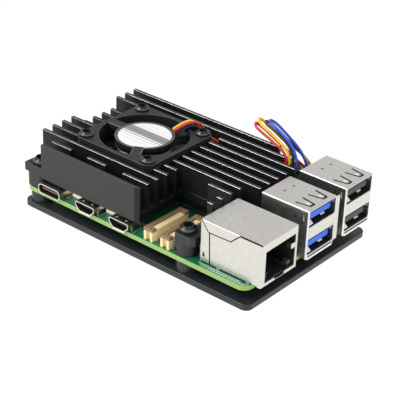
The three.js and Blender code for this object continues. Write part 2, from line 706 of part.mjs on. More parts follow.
// Two legs carry the front end of each camera socket.
CAMERA_SOCKET_X.forEach((left, index) => {
  const right = left + CAMERA_SOCKET_WIDTH;
  const front = CAMERA_SOCKET_FRONT + CAMERA_LEG_DEPTH;
  const top = CAMERA_SOCKET_TOP;
  const slotLeft = left + 1.2;
  const legs = [left + 0.1, right - 0.9].map((x) => (
    block(x, x + 0.8, CAMERA_SOCKET_FRONT, front + 0.2, 0, top)
  ));
  const trough = ribbonSocket(left, right, front, CAMERA_SOCKET_BACK, top, slotLeft);
  const bar = block(
    left, right, CAMERA_SOCKET_FRONT, front, top + LATCH_GAP, top + LATCH_GAP + LATCH_THICKNESS,
  );
  const latch = ribbonLatch(left, right, front, CAMERA_SOCKET_BACK, top + LATCH_GAP, slotLeft);
  place(`camera_socket_${index}`, joined([trough, ...legs]), creamPlastic);
  place(`camera_latch_${index}`, latch.add(bar), brownPlastic);
});

function expansionSocket() {
  const slotLeft = EXPANSION_SOCKET[0] + 1.2;
  const seat = EXPANSION_SOCKET_TOP + LATCH_GAP;
  const body = ribbonSocket(...EXPANSION_SOCKET, EXPANSION_SOCKET_TOP, slotLeft);
  place('expansion_socket', body, creamPlastic);
  place('expansion_latch', ribbonLatch(...EXPANSION_SOCKET, seat, slotLeft), brownPlastic);
}
expansionSocket();

// ---- Pin header ----

function pinHeader() {
  const half = HEADER_PITCH / 2;
  const bar = block(
    HEADER_LEFT, HEADER_LEFT + HEADER_COLUMNS * HEADER_PITCH,
    HEADER_FRONT, HEADER_FRONT + 2 * HEADER_PITCH, 0, HEADER_BAR_HEIGHT,
  );
  const pins = [];
  for (let column = 0; column < HEADER_COLUMNS; column += 1) {
    for (let row = 0; row < 2; row += 1) {
      const x = HEADER_LEFT + half + column * HEADER_PITCH;
      const y = HEADER_FRONT + half + row * HEADER_PITCH;
      pins.push(block(
        x - PIN_HALF, x + PIN_HALF, y - PIN_HALF, y + PIN_HALF, HEADER_BAR_HEIGHT - 0.5, PIN_TOP,
      ));
    }
  }
  return joined([bar, ...pins]);
}
place('pin_header', pinHeader(), blackPlastic);

// ---- Storage-card slot under the board ----

function cardSlot() {
  const middle = BOARD_WIDTH / 2;
  const low = -BOARD_THICKNESS - CARD_SLOT_HEIGHT;
  const [left, right] = CARD_SLOT;
  const half = CARD_SLOT_HALF;
  const wall = CARD_SLOT_WALL;
  const outer = block(left, right, middle - half, middle + half, low, -BOARD_THICKNESS);
  return outer.subtract(block(
    left - 1, right - 1, middle - half + wall, middle + half - wall,
    low + wall, -BOARD_THICKNESS - wall,
  ));
}
place('card_slot', cardSlot(), platedSteel);

// ---- Power button and status light on the left edge ----

const buttonHousing = block(0.2, 2.6, BUTTON_Y - 1.7, BUTTON_Y + 1.7, 0, 1.8)
  .subtract(block(0, 1.6, BUTTON_Y - BUTTON_HALF, BUTTON_Y + BUTTON_HALF, 0.4, 1.4));
place('power_button_housing', buttonHousing, blackPlastic);
const buttonBack = 1.6 - BUTTON_TRAVEL - BUTTON_GAP;
place('power_button', block(
  -0.6, buttonBack, BUTTON_Y - BUTTON_HALF + BUTTON_GAP, BUTTON_Y + BUTTON_HALF - BUTTON_GAP,
  0.4 + BUTTON_GAP, 1.4 - BUTTON_GAP,
), whitePlastic);
place('status_light', block(0.4, 1.6, BUTTON_Y + 2.6, BUTTON_Y + 3.4, 0, 0.7), whitePlastic);

// ---- Small parts on the board ----

place('power_inductor', block(22.6, 26.6, 10.8, 14.2, 0, 2), chipBlack);
place('clock_crystal', block(40.7, 42.6, 22.5, 24.5, 0, 0.8), brightSteel);

// ---- Fan socket, plug and wires ----

function fanSocketPin(index) {
  const [, , y0, y1] = FAN_SOCKET;
  return (y0 + y1) / 2 + (index - 1.5) * WIRE_PITCH;
}

function fanConnection() {
  const [x0, x1, y0, y1, z0, z1] = FAN_SOCKET;
  const wall = FAN_SOCKET_WALL;
  const socket = block(x0, x1, y0, y1, z0, z1)
    .subtract(block(x0 + wall, x1 - wall, y0 + wall, y1 - wall, 1, z1 + 1));
  const gap = wall + 0.06;
  place('fan_socket', socket, creamPlastic);
  place('fan_plug', block(x0 + gap, x1 - gap, y0 + gap, y1 - gap, 1.3, PLUG_TOP), whitePlastic);
}
fanConnection();

// The wires leave the motor base in a two-by-two bundle along the low strut, bend through the
// notch in the frame's back edge and run stacked in one groove between fins. At the groove's
// end each one rises, doubles back in a slack loop and comes down into the plug.
const socketX = (FAN_SOCKET[0] + FAN_SOCKET[1]) / 2;

// Each layout gives every wire's place in the bundle as [across, up], in wire pitches.
const SQUARE = [[-0.5, -0.5], [0.5, -0.5], [-0.5, 0.5], [0.5, 0.5]];
const TURNING = [[-0.4, -1.2], [0.4, -0.5], [-0.4, 0.5], [0.4, 1.2]];
const STACKED = [[0, -1.5], [0, -0.5], [0, 0.5], [0, 1.5]];

function station(centre, across, up, layout, index) {
  const [sideways, upwards] = layout[index];
  return new THREE.Vector3(...centre)
    .addScaledVector(new THREE.Vector3(...across).normalize(), sideways * WIRE_PITCH)
    .addScaledVector(new THREE.Vector3(...up).normalize(), upwards * WIRE_PITCH);
}

function fanEndPath(index) {
  return [
    station([30.35, 33.3, 16.2], [0.85, -0.53, 0], [0, 0, 1], SQUARE, index),
    station([31.4, 35.9, 17.3], [0.85, -0.4, 0], [-0.2, -0.4, 1], SQUARE, index),
    station([32.3, 38, 17.7], [1, -0.2, 0], [0.1, 0.15, 1], SQUARE, index),
    station([33.2, 40.6, 16.2], [1, -0.1, 0.3], [0.1, 0.8, 0.9], SQUARE, index),
    station([34.7, 42, 12.6], [0.6, -0.8, 0.2], [0.8, 0.5, 0.9], TURNING, index),
    station([38.4, GROOVE_Y - 0.1, 10.5], [0, -1, 0], [0.4, 0, 1], STACKED, index),
    station([44, GROOVE_Y, GROOVE_Z], [0, -1, 0], [0, 0, 1], STACKED, index),
    station([60, GROOVE_Y, GROOVE_Z], [0, -1, 0], [0, 0, 1], STACKED, index),
    station([64.2, GROOVE_Y, GROOVE_Z + 0.9], [0, -1, 0], [-0.6, 0, 1], STACKED, index),
    station([66.8, GROOVE_Y, 14.6], [0, -1, 0], [-1, 0, 0.1], STACKED, index),
  ];
}

// Each loop's points run up the near strand, round the tip and down the far strand.
const loops = [
  [[67.1, 43.2, 19.3], [61.6, 44.1, 22.6], [57.1, 44.7, 24.1], [56.2, 45.7, 24.3],
    [57.1, 46.7, 23.7], [62, 47.1, 20.8], [67, 47.5, 16.8], [69, 47.9, 12.4]],
  [[66.1, 43.2, 18.9], [61, 44, 21.8], [55.7, 44.7, 23.3], [54.8, 45.7, 23.5],
    [55.7, 46.7, 22.9], [61.8, 47.2, 19.4], [66.2, 48.5, 15.9], [68.5, 49.1, 12.2]],
  [[64.8, 43.1, 18.2], [60.2, 43.8, 20.4], [53.3, 44.7, 22.9], [52.4, 45.7, 23.6],
    [53.3, 46.8, 22.6], [61, 47.6, 18.2], [65.4, 50.1, 14.8], [67.9, 51.5, 11.5]],
  [[63.6, 43.1, 17.4], [59, 43.6, 19.1], [52, 44.6, 21.3], [51.2, 45.6, 21.8],
    [52, 46.6, 20.9], [60.4, 47.1, 16.7], [64.8, 48.9, 12.9], [67.6, 50.3, 10.2]],
];
const PIN_OF_WIRE = [0, 1, 3, 2];

function loopPath(index) {
  const pinY = fanSocketPin(PIN_OF_WIRE[index]);
  const slack = loops[index].map((point) => new THREE.Vector3(...point));
  return [
    ...slack,
    new THREE.Vector3(socketX, pinY, 8),
    new THREE.Vector3(socketX, pinY, PLUG_TOP + 0.02),
  ];
}

function wire(index) {
  const curve = new THREE.CatmullRomCurve3([...fanEndPath(index), ...loopPath(index)]);
  curve.curveType = 'centripetal';
  const section = new THREE.Shape();
  section.absarc(0, 0, WIRE_RADIUS, 0, 2 * Math.PI);
  const geometry = new THREE.ExtrudeGeometry(section, {
    steps: 76, extrudePath: curve, curveSegments: 3,
  });
  return solidFrom(geometry);
}
place('wire_blue', wire(0), wireBlue);
place('wire_black', wire(1), wireBlack);
place('wire_yellow', wire(2), wireYellow);
place('wire_red', wire(3), wireRed);

export default computer;
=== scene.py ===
"""Looks for the single-board computer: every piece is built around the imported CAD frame.

Lengths inside the building functions are millimetres in the board's own frame: x and y from
the board's corner beside the power socket, z from the board's upper face.
"""
import bpy
import bmesh
import math
import random
from mathutils import Matrix, Vector


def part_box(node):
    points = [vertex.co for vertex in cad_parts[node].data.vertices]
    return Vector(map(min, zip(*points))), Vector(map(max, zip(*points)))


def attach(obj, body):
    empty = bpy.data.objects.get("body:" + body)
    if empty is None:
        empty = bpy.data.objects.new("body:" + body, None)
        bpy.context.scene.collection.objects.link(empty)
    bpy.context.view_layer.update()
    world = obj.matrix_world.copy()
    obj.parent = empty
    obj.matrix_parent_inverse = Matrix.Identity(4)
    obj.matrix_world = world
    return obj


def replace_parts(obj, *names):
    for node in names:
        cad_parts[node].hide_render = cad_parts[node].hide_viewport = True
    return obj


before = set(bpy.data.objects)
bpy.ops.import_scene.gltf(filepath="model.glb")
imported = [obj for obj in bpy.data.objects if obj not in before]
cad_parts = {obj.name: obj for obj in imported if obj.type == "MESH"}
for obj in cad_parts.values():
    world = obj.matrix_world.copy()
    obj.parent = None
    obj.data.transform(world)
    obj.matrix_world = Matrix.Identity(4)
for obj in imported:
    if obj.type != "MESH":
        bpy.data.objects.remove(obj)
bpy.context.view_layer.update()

MM = 0.001
BOARD_LOW, BOARD_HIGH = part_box("circuit_board")
ORIGIN = Vector((BOARD_LOW.x, BOARD_LOW.y, BOARD_HIGH.z))
TO_FRAME = Matrix.Translation(ORIGIN) @ Matrix.Scale(MM, 4)


def node_box(name):
    """A CAD node's lowest and highest corners, in board millimetres."""
    low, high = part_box(name)
    return (low - ORIGIN) / MM, (high - ORIGIN) / MM


def middle(name):
    """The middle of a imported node's box, in board millimetres."""
    low, high = node_box(name)
    return (low + high) / 2


# ---------------------------------------------------------------- materials

def new_material(name):
    """A named material with its node tree and its shader."""
    material = bpy.data.materials.new(name)
    material.use_nodes = True
    tree = material.node_tree
    shader = tree.nodes["Principled BSDF"]
    return material, tree, shader


def set_inputs(tree, node, values):
    """Gives each named input a value, or joins it to another node's output."""
    for key, value in values.items():
        if isinstance(value, bpy.types.NodeSocket):
            tree.links.new(value, node.inputs[key])
        else:
            node.inputs[key].default_value = value


def add_node(tree, kind, inputs=None, **settings):
    """Adds a shader node with its settings and inputs."""
    node = tree.nodes.new(kind)
    for key, value in settings.items():
        setattr(node, key, value)
    set_inputs(tree, node, inputs or {})
    return node


def board_place(tree, scale=(1, 1, 1)):
    """Object coordinates in millimetres, stretched axis by axis."""
    place = tree.nodes.new("ShaderNodeTexCoord")
    scale = [s / MM for s in scale]
    mapping = add_node(tree, "ShaderNodeMapping", {
        "Vector": place.outputs["Object"], "Scale": scale})
    return mapping.outputs["Vector"]


def noise(tree, scale, stretch=(1, 1, 1)):
    """Noise in object space, where scale counts features per millimetre."""
    place = board_place(tree, [scale * s for s in stretch])
    texture = add_node(tree, "ShaderNodeTexNoise", {"Vector": place, "Scale": 1.0, "Detail": 3.0})
    return texture.outputs["Fac"]


def remap(tree, value, low, high, from_low=0.0, from_high=1.0):
    """Carries a value from one range to another."""
    return add_node(tree, "ShaderNodeMapRange", {
        "Value": value, "From Min": from_low, "From Max": from_high,
        "To Min": low, "To Max": high}).outputs["Result"]


def maths(tree, operation, first, second):
    """The result of a sum or comparison of two values."""
    node = add_node(tree, "ShaderNodeMath", {0: first, 1: second}, operation=operation)
    return node.outputs["Value"]


def mix_colors(tree, factor, dark, light):
    """Runs from dark to light over the middle of a factor's range."""
    ramp = add_node(tree, "ShaderNodeValToRGB", {"Fac": factor})
    for element, position, color in zip(ramp.color_ramp.elements, (0.3, 0.7), (dark, light)):
        element.position = position
        element.color = (*color, 1)
    return ramp.outputs["Color"]


def add_bump(tree, shader, height, strength, distance):
    """Gives the shader a relief; distance is in millimetres."""
    bump = add_node(tree, "ShaderNodeBump", {
        "Height": height, "Strength": strength, "Distance": distance * MM})
    set_inputs(tree, shader, {"Normal": bump.outputs["Normal"]})


def surface(name, dark, light, roughness, metallic=0.0, grain=2.0, bump=0.1, depth=0.02,
            stretch=(1, 1, 1), specular=0.5, coat=0.0, painted_glow=0.0):
    """A finish whose colour, roughness and relief all follow one fine grain.

    The last argument paints light into the finish as emission, so the part glows though it is no lamp.
    """
    material, tree, shader = new_material(name)
    speckle = noise(tree, grain, stretch)
    set_inputs(tree, shader, {
        "Base Color": mix_colors(tree, speckle, dark, light),
        "Roughness": remap(tree, speckle, *roughness),
        "Metallic": metallic, "Specular IOR Level": specular,
        "Coat Weight": coat, "Coat Roughness": 0.15,
        "Emission Color": (*light, 1), "Emission Strength": painted_glow})
    add_bump(tree, shader, speckle, bump, depth)
    return material


ANODISED = surface("black_anodised", (0.010, 0.0103, 0.0115), (0.015, 0.0154, 0.017),
                   (0.34, 0.5), grain=4.0, bump=0.25, depth=0.015, specular=0.25)
# A lighter copy of the black anodising: painted light for the faces that look to the front.
ANODISED_LIT_FRONT = surface("anodised_painted_front_light", (0.034, 0.0345, 0.036), (0.050, 0.0505, 0.052),
                        (0.4, 0.55), grain=4.5, bump=0.35, depth=0.02, specular=0.25)
# A darker copy of the black anodising: painted shade for the ends that face the camera sockets' cut.
ANODISED_SHADED_END = surface("anodised_painted_end_shade", (0.004, 0.0042, 0.005), (0.007, 0.0072, 0.008),
                       (0.4, 0.55), grain=4.0, bump=0.2, depth=0.015, specular=0.15)
# A lighter anodised tone with a grain along x, put on the fin tops.
ANODISED_LIGHTER_TOP = surface("lighter_top_anodised", (0.020, 0.0205, 0.022), (0.032, 0.0325, 0.034),
                       (0.32, 0.45), grain=3.0, stretch=(0.2, 1, 1), bump=0.2, specular=0.3)
PLATE_BLACK = surface("black_anodised_plate", (0.021, 0.0235, 0.0265), (0.029, 0.032, 0.036),
                      (0.24, 0.36), grain=3.0, bump=0.12, depth=0.01, specular=0.4)
CUT_EDGE = surface("machined_edge", (0.18, 0.18, 0.184), (0.36, 0.36, 0.37), (0.26, 0.4),
                   metallic=1.0, grain=1.2, stretch=(0.3, 1, 1), bump=0.1)
FAN_PLASTIC = surface("fan_plastic", (0.013, 0.0134, 0.0142), (0.020, 0.0206, 0.0216),
                      (0.42, 0.55), grain=5.0, bump=0.25, depth=0.02, specular=0.35)
# A lighter copy of the fan plastic: a painted highlight for the frame's rounded top edges.
FAN_EDGE_HIGHLIGHT = surface("fan_plastic_painted_edge_highlight", (0.12, 0.121, 0.124), (0.18, 0.181, 0.185),
                   (0.3, 0.4), grain=5.0, bump=0.15, depth=0.02)
BLACK_PLASTIC = surface("black_plastic", (0.010, 0.010, 0.011), (0.018, 0.018, 0.019),
                        (0.4, 0.55), grain=4.0, bump=0.15)
GREY_PLASTIC = surface("grey_tongue", (0.045, 0.046, 0.048), (0.06, 0.061, 0.063),
                       (0.4, 0.5), grain=4.0, bump=0.15)
BLUE_PLASTIC = surface("blue_tongue", (0.012, 0.12, 0.78), (0.02, 0.17, 0.92),
                       (0.3, 0.42), grain=4.0, bump=0.1)
CREAM_PLASTIC = surface("cream_plastic", (0.86, 0.72, 0.36), (0.94, 0.81, 0.47),
                        (0.4, 0.5), grain=3.0, bump=0.1)
# Painted light: this cream plastic glows a little, so the small sockets read bright in the heatsink's
# shade.
PALE_PLASTIC_PAINTED_GLOW = surface("pale_cream_plastic_painted_glow", (0.93, 0.89, 0.70), (0.97, 0.94, 0.78),
                       (0.3, 0.4), grain=3.0, bump=0.08, painted_glow=0.4)
WHITE_PLASTIC = surface("white_plastic", (0.74, 0.72, 0.66), (0.82, 0.80, 0.75),
                        (0.35, 0.45), grain=3.0, bump=0.1)
BROWN_PLASTIC = surface("brown_latch", (0.235, 0.138, 0.080), (0.325, 0.197, 0.120),
                        (0.35, 0.5), grain=3.0, bump=0.12)
PLATED = surface("plated_steel", (0.69, 0.675, 0.61), (0.79, 0.775, 0.705), (0.26, 0.38),
                 metallic=1.0, grain=1.6, bump=0.06, depth=0.01)
PLATED_BRUSHED = surface("brushed_steel", (0.62, 0.61, 0.59), (0.78, 0.765, 0.74),
                         (0.34, 0.5), metallic=1.0, grain=2.2, stretch=(0.6, 1, 1),
                         bump=0.1, depth=0.01)
# Near-white steel for bright small parts (springs, pips, lips, catches), also a painted highlight on
# rolled edges and front rims.
BRIGHT_METAL_AND_HIGHLIGHT = surface("bright_metal_and_painted_edge_highlight", (0.90, 0.895, 0.88), (0.97, 0.965, 0.95), (0.25, 0.35),
                      metallic=0.7, grain=2.0, bump=0.04, depth=0.01)
# A lighter black steel that carries painted highlights: the screw heads' rims and the fan hub's steel
# band.
HIGHLIGHT_STEEL = surface("black_steel_painted_highlight", (0.08, 0.08, 0.084), (0.16, 0.16, 0.165), (0.25, 0.35),
                     metallic=0.8, grain=3.0, bump=0.08)
BLACK_STEEL = surface("black_steel", (0.018, 0.018, 0.019), (0.03, 0.03, 0.032),
                      (0.2, 0.32), metallic=0.6, grain=3.0, bump=0.08, specular=0.8)
BRIGHT_STEEL = surface("bright_steel", (0.66, 0.66, 0.66), (0.8, 0.8, 0.8), (0.15, 0.25),
                       metallic=1.0, grain=3.0, bump=0.05)
GOLD = surface("gold_plate", (0.72, 0.48, 0.16), (0.85, 0.6, 0.24), (0.22, 0.32),
               metallic=1.0, grain=3.0, bump=0.05)
SOLDER = surface("solder", (0.6, 0.6, 0.6), (0.74, 0.74, 0.74), (0.25, 0.4),
                 metallic=1.0, grain=6.0, bump=0.3, depth=0.03)
CHIP = surface("chip_compound", (0.010, 0.010, 0.011), (0.02, 0.02, 0.021), (0.45, 0.6),
               grain=6.0, bump=0.3, depth=0.01)
CERAMIC = surface("brown_ceramic", (0.26, 0.17, 0.10), (0.36, 0.25, 0.15), (0.4, 0.5),
                  grain=5.0, bump=0.1)
PAD = surface("thermal_pad", (0.26, 0.3, 0.36), (0.34, 0.38, 0.44), (0.7, 0.85), grain=3.0,
              bump=0.3, depth=0.03)
COPPER = surface("enamelled_copper", (0.4, 0.13, 0.05), (0.55, 0.2, 0.08), (0.25, 0.4),
                 metallic=0.9, grain=2.0, stretch=(1, 1, 8), bump=0.5, depth=0.05)
MAGNET = surface("ring_magnet", (0.02, 0.02, 0.02), (0.035, 0.035, 0.035), (0.6, 0.8),
                 grain=6.0, bump=0.3)
BRONZE = surface("bronze", (0.35, 0.2, 0.08), (0.48, 0.3, 0.12), (0.35, 0.5), metallic=0.9,
                 grain=6.0, bump=0.3)
BOARD_EDGE = surface("board_edge", (0.24, 0.42, 0.11), (0.36, 0.55, 0.17), (0.5, 0.7),
                     grain=1.2, stretch=(1, 1, 6), bump=0.2)
SILK = surface("white_ink", (0.7, 0.72, 0.7), (0.8, 0.82, 0.8), (0.5, 0.6), grain=8.0,
               bump=0.1)
# Near-black painted shade for the bottoms of narrow grooves.
RECESS_SHADE = surface("painted_recess_shade", (0.004, 0.004, 0.004), (0.007, 0.007, 0.007), (0.7, 0.9),
                 grain=3.0, bump=0.05, specular=0.1)


def insulation(name, dark, light):
    """The smooth, slightly glossy skin of a wire."""
    return surface(name, dark, light, (0.28, 0.38), grain=1.5, bump=0.08, coat=0.2)


WIRE_YELLOW = insulation("yellow_insulation", (0.92, 0.52, 0.01), (0.98, 0.62, 0.03))
WIRE_RED = insulation("red_insulation", (0.58, 0.02, 0.02), (0.68, 0.035, 0.03))
WIRE_BLACK = insulation("black_insulation", (0.012, 0.012, 0.012), (0.02, 0.02, 0.02))
WIRE_BLUE = insulation("blue_insulation", (0.02, 0.06, 0.50), (0.03, 0.09, 0.62))


def solder_mask():
    """Green mask over copper: broad tone changes, faint traces, tiny round vias."""
    material, tree, shader = new_material("green_solder_mask")
    base = mix_colors(tree, noise(tree, 0.15), (0.003, 0.125, 0.048), (0.006, 0.17, 0.068))
    place = board_place(tree)
    black, white, bright_green = (0, 0, 0, 1), (1, 1, 1, 1), (0.010, 0.24, 0.10, 1)
    traces = add_node(tree, "ShaderNodeTexBrick", {
        "Vector": place, "Scale": 0.9, "Mortar Size": 0.035, "Color1": black, "Color2": black,
        "Mortar": white})
    vias = add_node(tree, "ShaderNodeTexVoronoi", {"Vector": place, "Scale": 0.55})
    via_radius = 0.16
    near = maths(tree, "LESS_THAN", vias.outputs["Distance"], via_radius)
    marks = maths(tree, "MAXIMUM", traces.outputs["Color"], near)
    mix = add_node(tree, "ShaderNodeMix", {
        "Factor": marks, "A": base, "B": bright_green}, data_type="RGBA")
    set_inputs(tree, shader, {
        "Base Color": mix.outputs["Result"], "Roughness": 0.3, "Coat Weight": 0.4,
        "Coat Roughness": 0.12})
    add_bump(tree, shader, marks, 0.3, 0.03)
    return material


MASK = solder_mask()


# ---------------------------------------------------------------- mesh building

def block(bm, low, high, material=0, bevel=0.0, segments=2):
    """A box between two corners, with rounded edges, added to bm."""
    part = bmesh.new()
    bmesh.ops.create_cube(part, size=1)
    size = [h - l for l, h in zip(low, high)]
    centre = [(l + h) / 2 for l, h in zip(low, high)]
    bmesh.ops.scale(part, vec=size, verts=part.verts)
    bmesh.ops.translate(part, vec=centre, verts=part.verts)
    if bevel:
        round_edges(part, bevel, segments)
    merge(bm, part, material)


def round_edges(part, width, segments=2, angle=30):
    """Bevels every edge that is sharper than angle."""
    edges = [e for e in part.edges if len(e.link_faces) == 2
             and e.calc_face_angle(0) > math.radians(angle)]
    bmesh.ops.bevel(part, geom=edges, offset=width, segments=segments, profile=0.5,
                    affect="EDGES", clamp_overlap=True)


def merge(bm, part, material=None, matrix=None):
    """Moves part's geometry into bm."""
    if matrix is not None:
        bmesh.ops.transform(part, matrix=matrix, verts=part.verts)
        if matrix.determinant() < 0:
            bmesh.ops.reverse_faces(part, faces=part.faces)
    if material is not None:
        for face in part.faces:
            face.material_index = material
    holder = bpy.data.meshes.new("holder")
    part.to_mesh(holder)
    part.free()
    bm.from_mesh(holder)
    bpy.data.meshes.remove(holder)


# Extruded outlines are drawn in a plane named by its normal: the two outline coordinates are
# then (x, y), (x, z) or (y, z).
PLANES = {
    "z": Matrix.Identity(4),
    "y": Matrix(((1, 0, 0, 0), (0, 0, 1, 0), (0, 1, 0, 0), (0, 0, 0, 1))),
    "x": Matrix(((0, 0, 1, 0), (1, 0, 0, 0), (0, 1, 0, 0), (0, 0, 0, 1))),
}


def sheet(bm, loops, start, end, material=0, normal="z", bevel=0.0, segments=2, side=None,
          angle=30):
    """An outline with any number of holes, extruded from start to end along normal."""
    part = bmesh.new()
    for loop in loops:
        verts = [part.verts.new((x, y, start)) for x, y in loop]
        for a, b in zip(verts, verts[1:] + verts[:1]):
            part.edges.new((a, b))
    bmesh.ops.triangle_fill(part, edges=part.edges[:], use_beauty=True, use_dissolve=True)
    bmesh.ops.recalc_face_normals(part, faces=part.faces)
    grown = bmesh.ops.extrude_face_region(part, geom=part.faces[:])
    moved = [g for g in grown["geom"] if isinstance(g, bmesh.types.BMVert)]
    bmesh.ops.translate(part, vec=(0, 0, end - start), verts=moved)
    bmesh.ops.recalc_face_normals(part, faces=part.faces)
    for face in part.faces:
        flat = abs(face.normal.z) > 0.5
        face.material_index = material if flat or side is None else side
    if bevel:
        round_edges(part, bevel, segments, angle)
    merge(bm, part, None, PLANES[normal])


def rounded(x0, x1, y0, y1, radius, steps=6):
    """A rectangle's outline with round corners."""
    corners = [(x1 - radius, y0 + radius, -90), (x1 - radius, y1 - radius, 0),
               (x0 + radius, y1 - radius, 90), (x0 + radius, y0 + radius, 180)]
    points = []
    for cx, cy, start in corners:
        for i in range(steps + 1):
            angle = math.radians(start + 90 * i / steps)
            points.append((cx + radius * math.cos(angle), cy + radius * math.sin(angle)))
    return points


def ribbon(points, width):
    """The outline of a band of even width along a path of straight stretches."""
    path = [Vector(p) for p in points]
    left, right = [], []
    for i, point in enumerate(path):
        ahead = (path[min(i + 1, len(path) - 1)] - point).normalized()
        behind = (point - path[max(i - 1, 0)]).normalized()
        along = (ahead + behind).normalized()
        across = Vector((-along.y, along.x))
        reach = width / 2 / max(0.5, along.dot(ahead if ahead.length else behind))
        left.append(tuple(point + across * reach))
        right.append(tuple(point - across * reach))
    return left + right[::-1]


def circle(x, y, radius, steps=32):
    """The corner points of a round outline."""
    return [(x + radius * math.cos(2 * math.pi * i / steps),
             y + radius * math.sin(2 * math.pi * i / steps)) for i in range(steps)]


def lathe(bm, profile, centre, steps=32, material=0):
    """A solid of revolution about +Z; profile runs from axis to axis as (radius, z)."""
    part = bmesh.new()
    rings = []
    for radius, z in profile:
        if radius < 1e-6:
            rings.append([part.verts.new((*centre, z))])
            continue
        rings.append([part.verts.new((x, y, z)) for x, y in circle(*centre, radius, steps)])
    for lower, upper in zip(rings, rings[1:]):
        for i in range(steps):
            j = (i + 1) % steps
            if len(lower) == 1:
                part.faces.new((lower[0], upper[j], upper[i]))
            elif len(upper) == 1:
                part.faces.new((lower[i], lower[j], upper[0]))
            else:
                part.faces.new((lower[i], lower[j], upper[j], upper[i]))
    bmesh.ops.recalc_face_normals(part, faces=part.faces)
    merge(bm, part, material)


def spaced(centre, count, pitch):
    """Even places about a centre."""
    return [centre + (i - (count - 1) / 2) * pitch for i in range(count)]


def legs(bm, left_sides, front_sides, size, top, material=0, bevel=0.05):
    """Soldered legs that pass through the board, one for each pair of sides."""
    for x in left_sides:
        for y in front_sides:
            block(bm, (x, y, LEG_END), (x + size[0], y + size[1], top), material, bevel)


def ring(bm, outer, inner, z0, z1, centre, steps=48, material=0, bevel=0.0):
    """A tube about +Z between two radii and two heights."""
    loops = [circle(*centre, outer, steps), circle(*centre, inner, steps)]
    sheet(bm, loops, z0, z1, material, bevel=bevel)


def tube(bm, points, radius, sides=12, material=0):
    """A round tube along a list of points, closed at both ends."""
    part = bmesh.new()
    points = [Vector(p) for p in points]
    tangents = []
    for i in range(len(points)):
        ahead = points[min(i + 1, len(points) - 1)]
        behind = points[max(i - 1, 0)]
        tangents.append((ahead - behind).normalized())
    across = tangents[0].orthogonal().normalized()
    rings = []
    for point, tangent in zip(points, tangents):
        across = (across - across.dot(tangent) * tangent).normalized()
        up = tangent.cross(across)
        ring_verts = []
        for k in range(sides):
            angle = 2 * math.pi * k / sides
            offset = across * math.cos(angle) + up * math.sin(angle)
            ring_verts.append(part.verts.new(point + offset * radius))
        rings.append(ring_verts)
    for lower, upper in zip(rings, rings[1:]):
        for k in range(sides):
            j = (k + 1) % sides
            part.faces.new((lower[k], lower[j], upper[j], upper[k]))
    part.faces.new(rings[0])
    part.faces.new(rings[-1])
    bmesh.ops.recalc_face_normals(part, faces=part.faces)
    merge(bm, part, material)


def new_object(name, bm, materials=()):
    """Turns bm into a mesh object in the scene."""
    mesh = bpy.data.meshes.new(name)
    bm.to_mesh(mesh)
    bm.free()
    for material in materials:
        mesh.materials.append(material)
    obj = bpy.data.objects.new(name, mesh)
    bpy.context.scene.collection.objects.link(obj)
    return obj


def piece(name, bm, materials, slot, body="case", smooth=38, weighted=True):
    """Turns bm into a named piece that rides on a body."""
    obj = new_object(name, bm, materials)
    mesh = obj.data
    mesh.transform(TO_FRAME)
    mesh.polygons.foreach_set("use_smooth", [True] * len(mesh.polygons))
    mesh.set_sharp_from_angle(angle=math.radians(smooth))
    if weighted:
        obj.modifiers.new("weighted_normals", "WEIGHTED_NORMAL").keep_sharp = True
    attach(obj, body)
    return obj


def stand_in(node, bm, materials, slot, **options):
    """A finished piece that takes one CAD node's place."""
    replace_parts(piece(f"{node}_visual", bm, materials, slot, **options), node)


def finish_node(name, material, bevel=0.0):
    """Gives a carried-over CAD node its material and, if asked, soft edges."""
    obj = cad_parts[name]
    obj.data.materials.clear()
    obj.data.materials.append(material)
    if bevel:
        modifier = obj.modifiers.new("soft_edges", "BEVEL")
        modifier.width = bevel * MM
        modifier.segments = 2
        modifier.limit_method = "ANGLE"


def paint(bm, material, chosen):
    """Gives a finish to every face whose normal and centre pass the test."""
    bm.normal_update()
    for face in bm.faces:
        if chosen(face.normal, face.calc_center_median()):
            face.material_index = material
    return bm


def carved(bm, tool, materials=()):
    """What an exact cut by tool leaves of bm; each may be several overlapping shells."""
    obj = new_object("kept", bm, materials)
    tool_obj = new_object("tool", tool, materials)
    modifier = obj.modifiers.new("boolean", "BOOLEAN")
    modifier.operation = "DIFFERENCE"
    modifier.solver = "EXACT"
    modifier.use_self = True
    modifier.object = tool_obj
    graph = bpy.context.evaluated_depsgraph_get()
    mesh = bpy.data.meshes.new_from_object(obj.evaluated_get(graph))
    result = bmesh.new()
    result.from_mesh(mesh)
    bpy.data.meshes.remove(mesh)
    for thing in (obj, tool_obj):
        bpy.data.objects.remove(thing)
    bmesh.ops.remove_doubles(result, verts=result.verts, dist=1e-5)
    return result


def united(bm, materials=()):
    """Joins overlapping closed shells into one skin, by subtracting a far-away speck."""
    speck = bmesh.new()
    bmesh.ops.create_cube(speck, size=0.01)
    bmesh.ops.translate(speck, vec=(500, 500, 500), verts=speck.verts)
    return carved(bm, speck, materials)


# ---------------------------------------------------------------- board and plate

HOLES = [(middle(f"case_screw_{i}").x, middle(f"case_screw_{i}").y) for i in range(1, 5)]
HOLE_RADIUS = 1.35
HOLE_STEPS = 24
POST_RADIUS = 3.2
PLATE_THICKNESS = 2
BOARD_LENGTH, BOARD_WIDTH, BOARD_THICKNESS = (BOARD_HIGH - BOARD_LOW) / MM
LEG_END = -BOARD_THICKNESS - 0.3


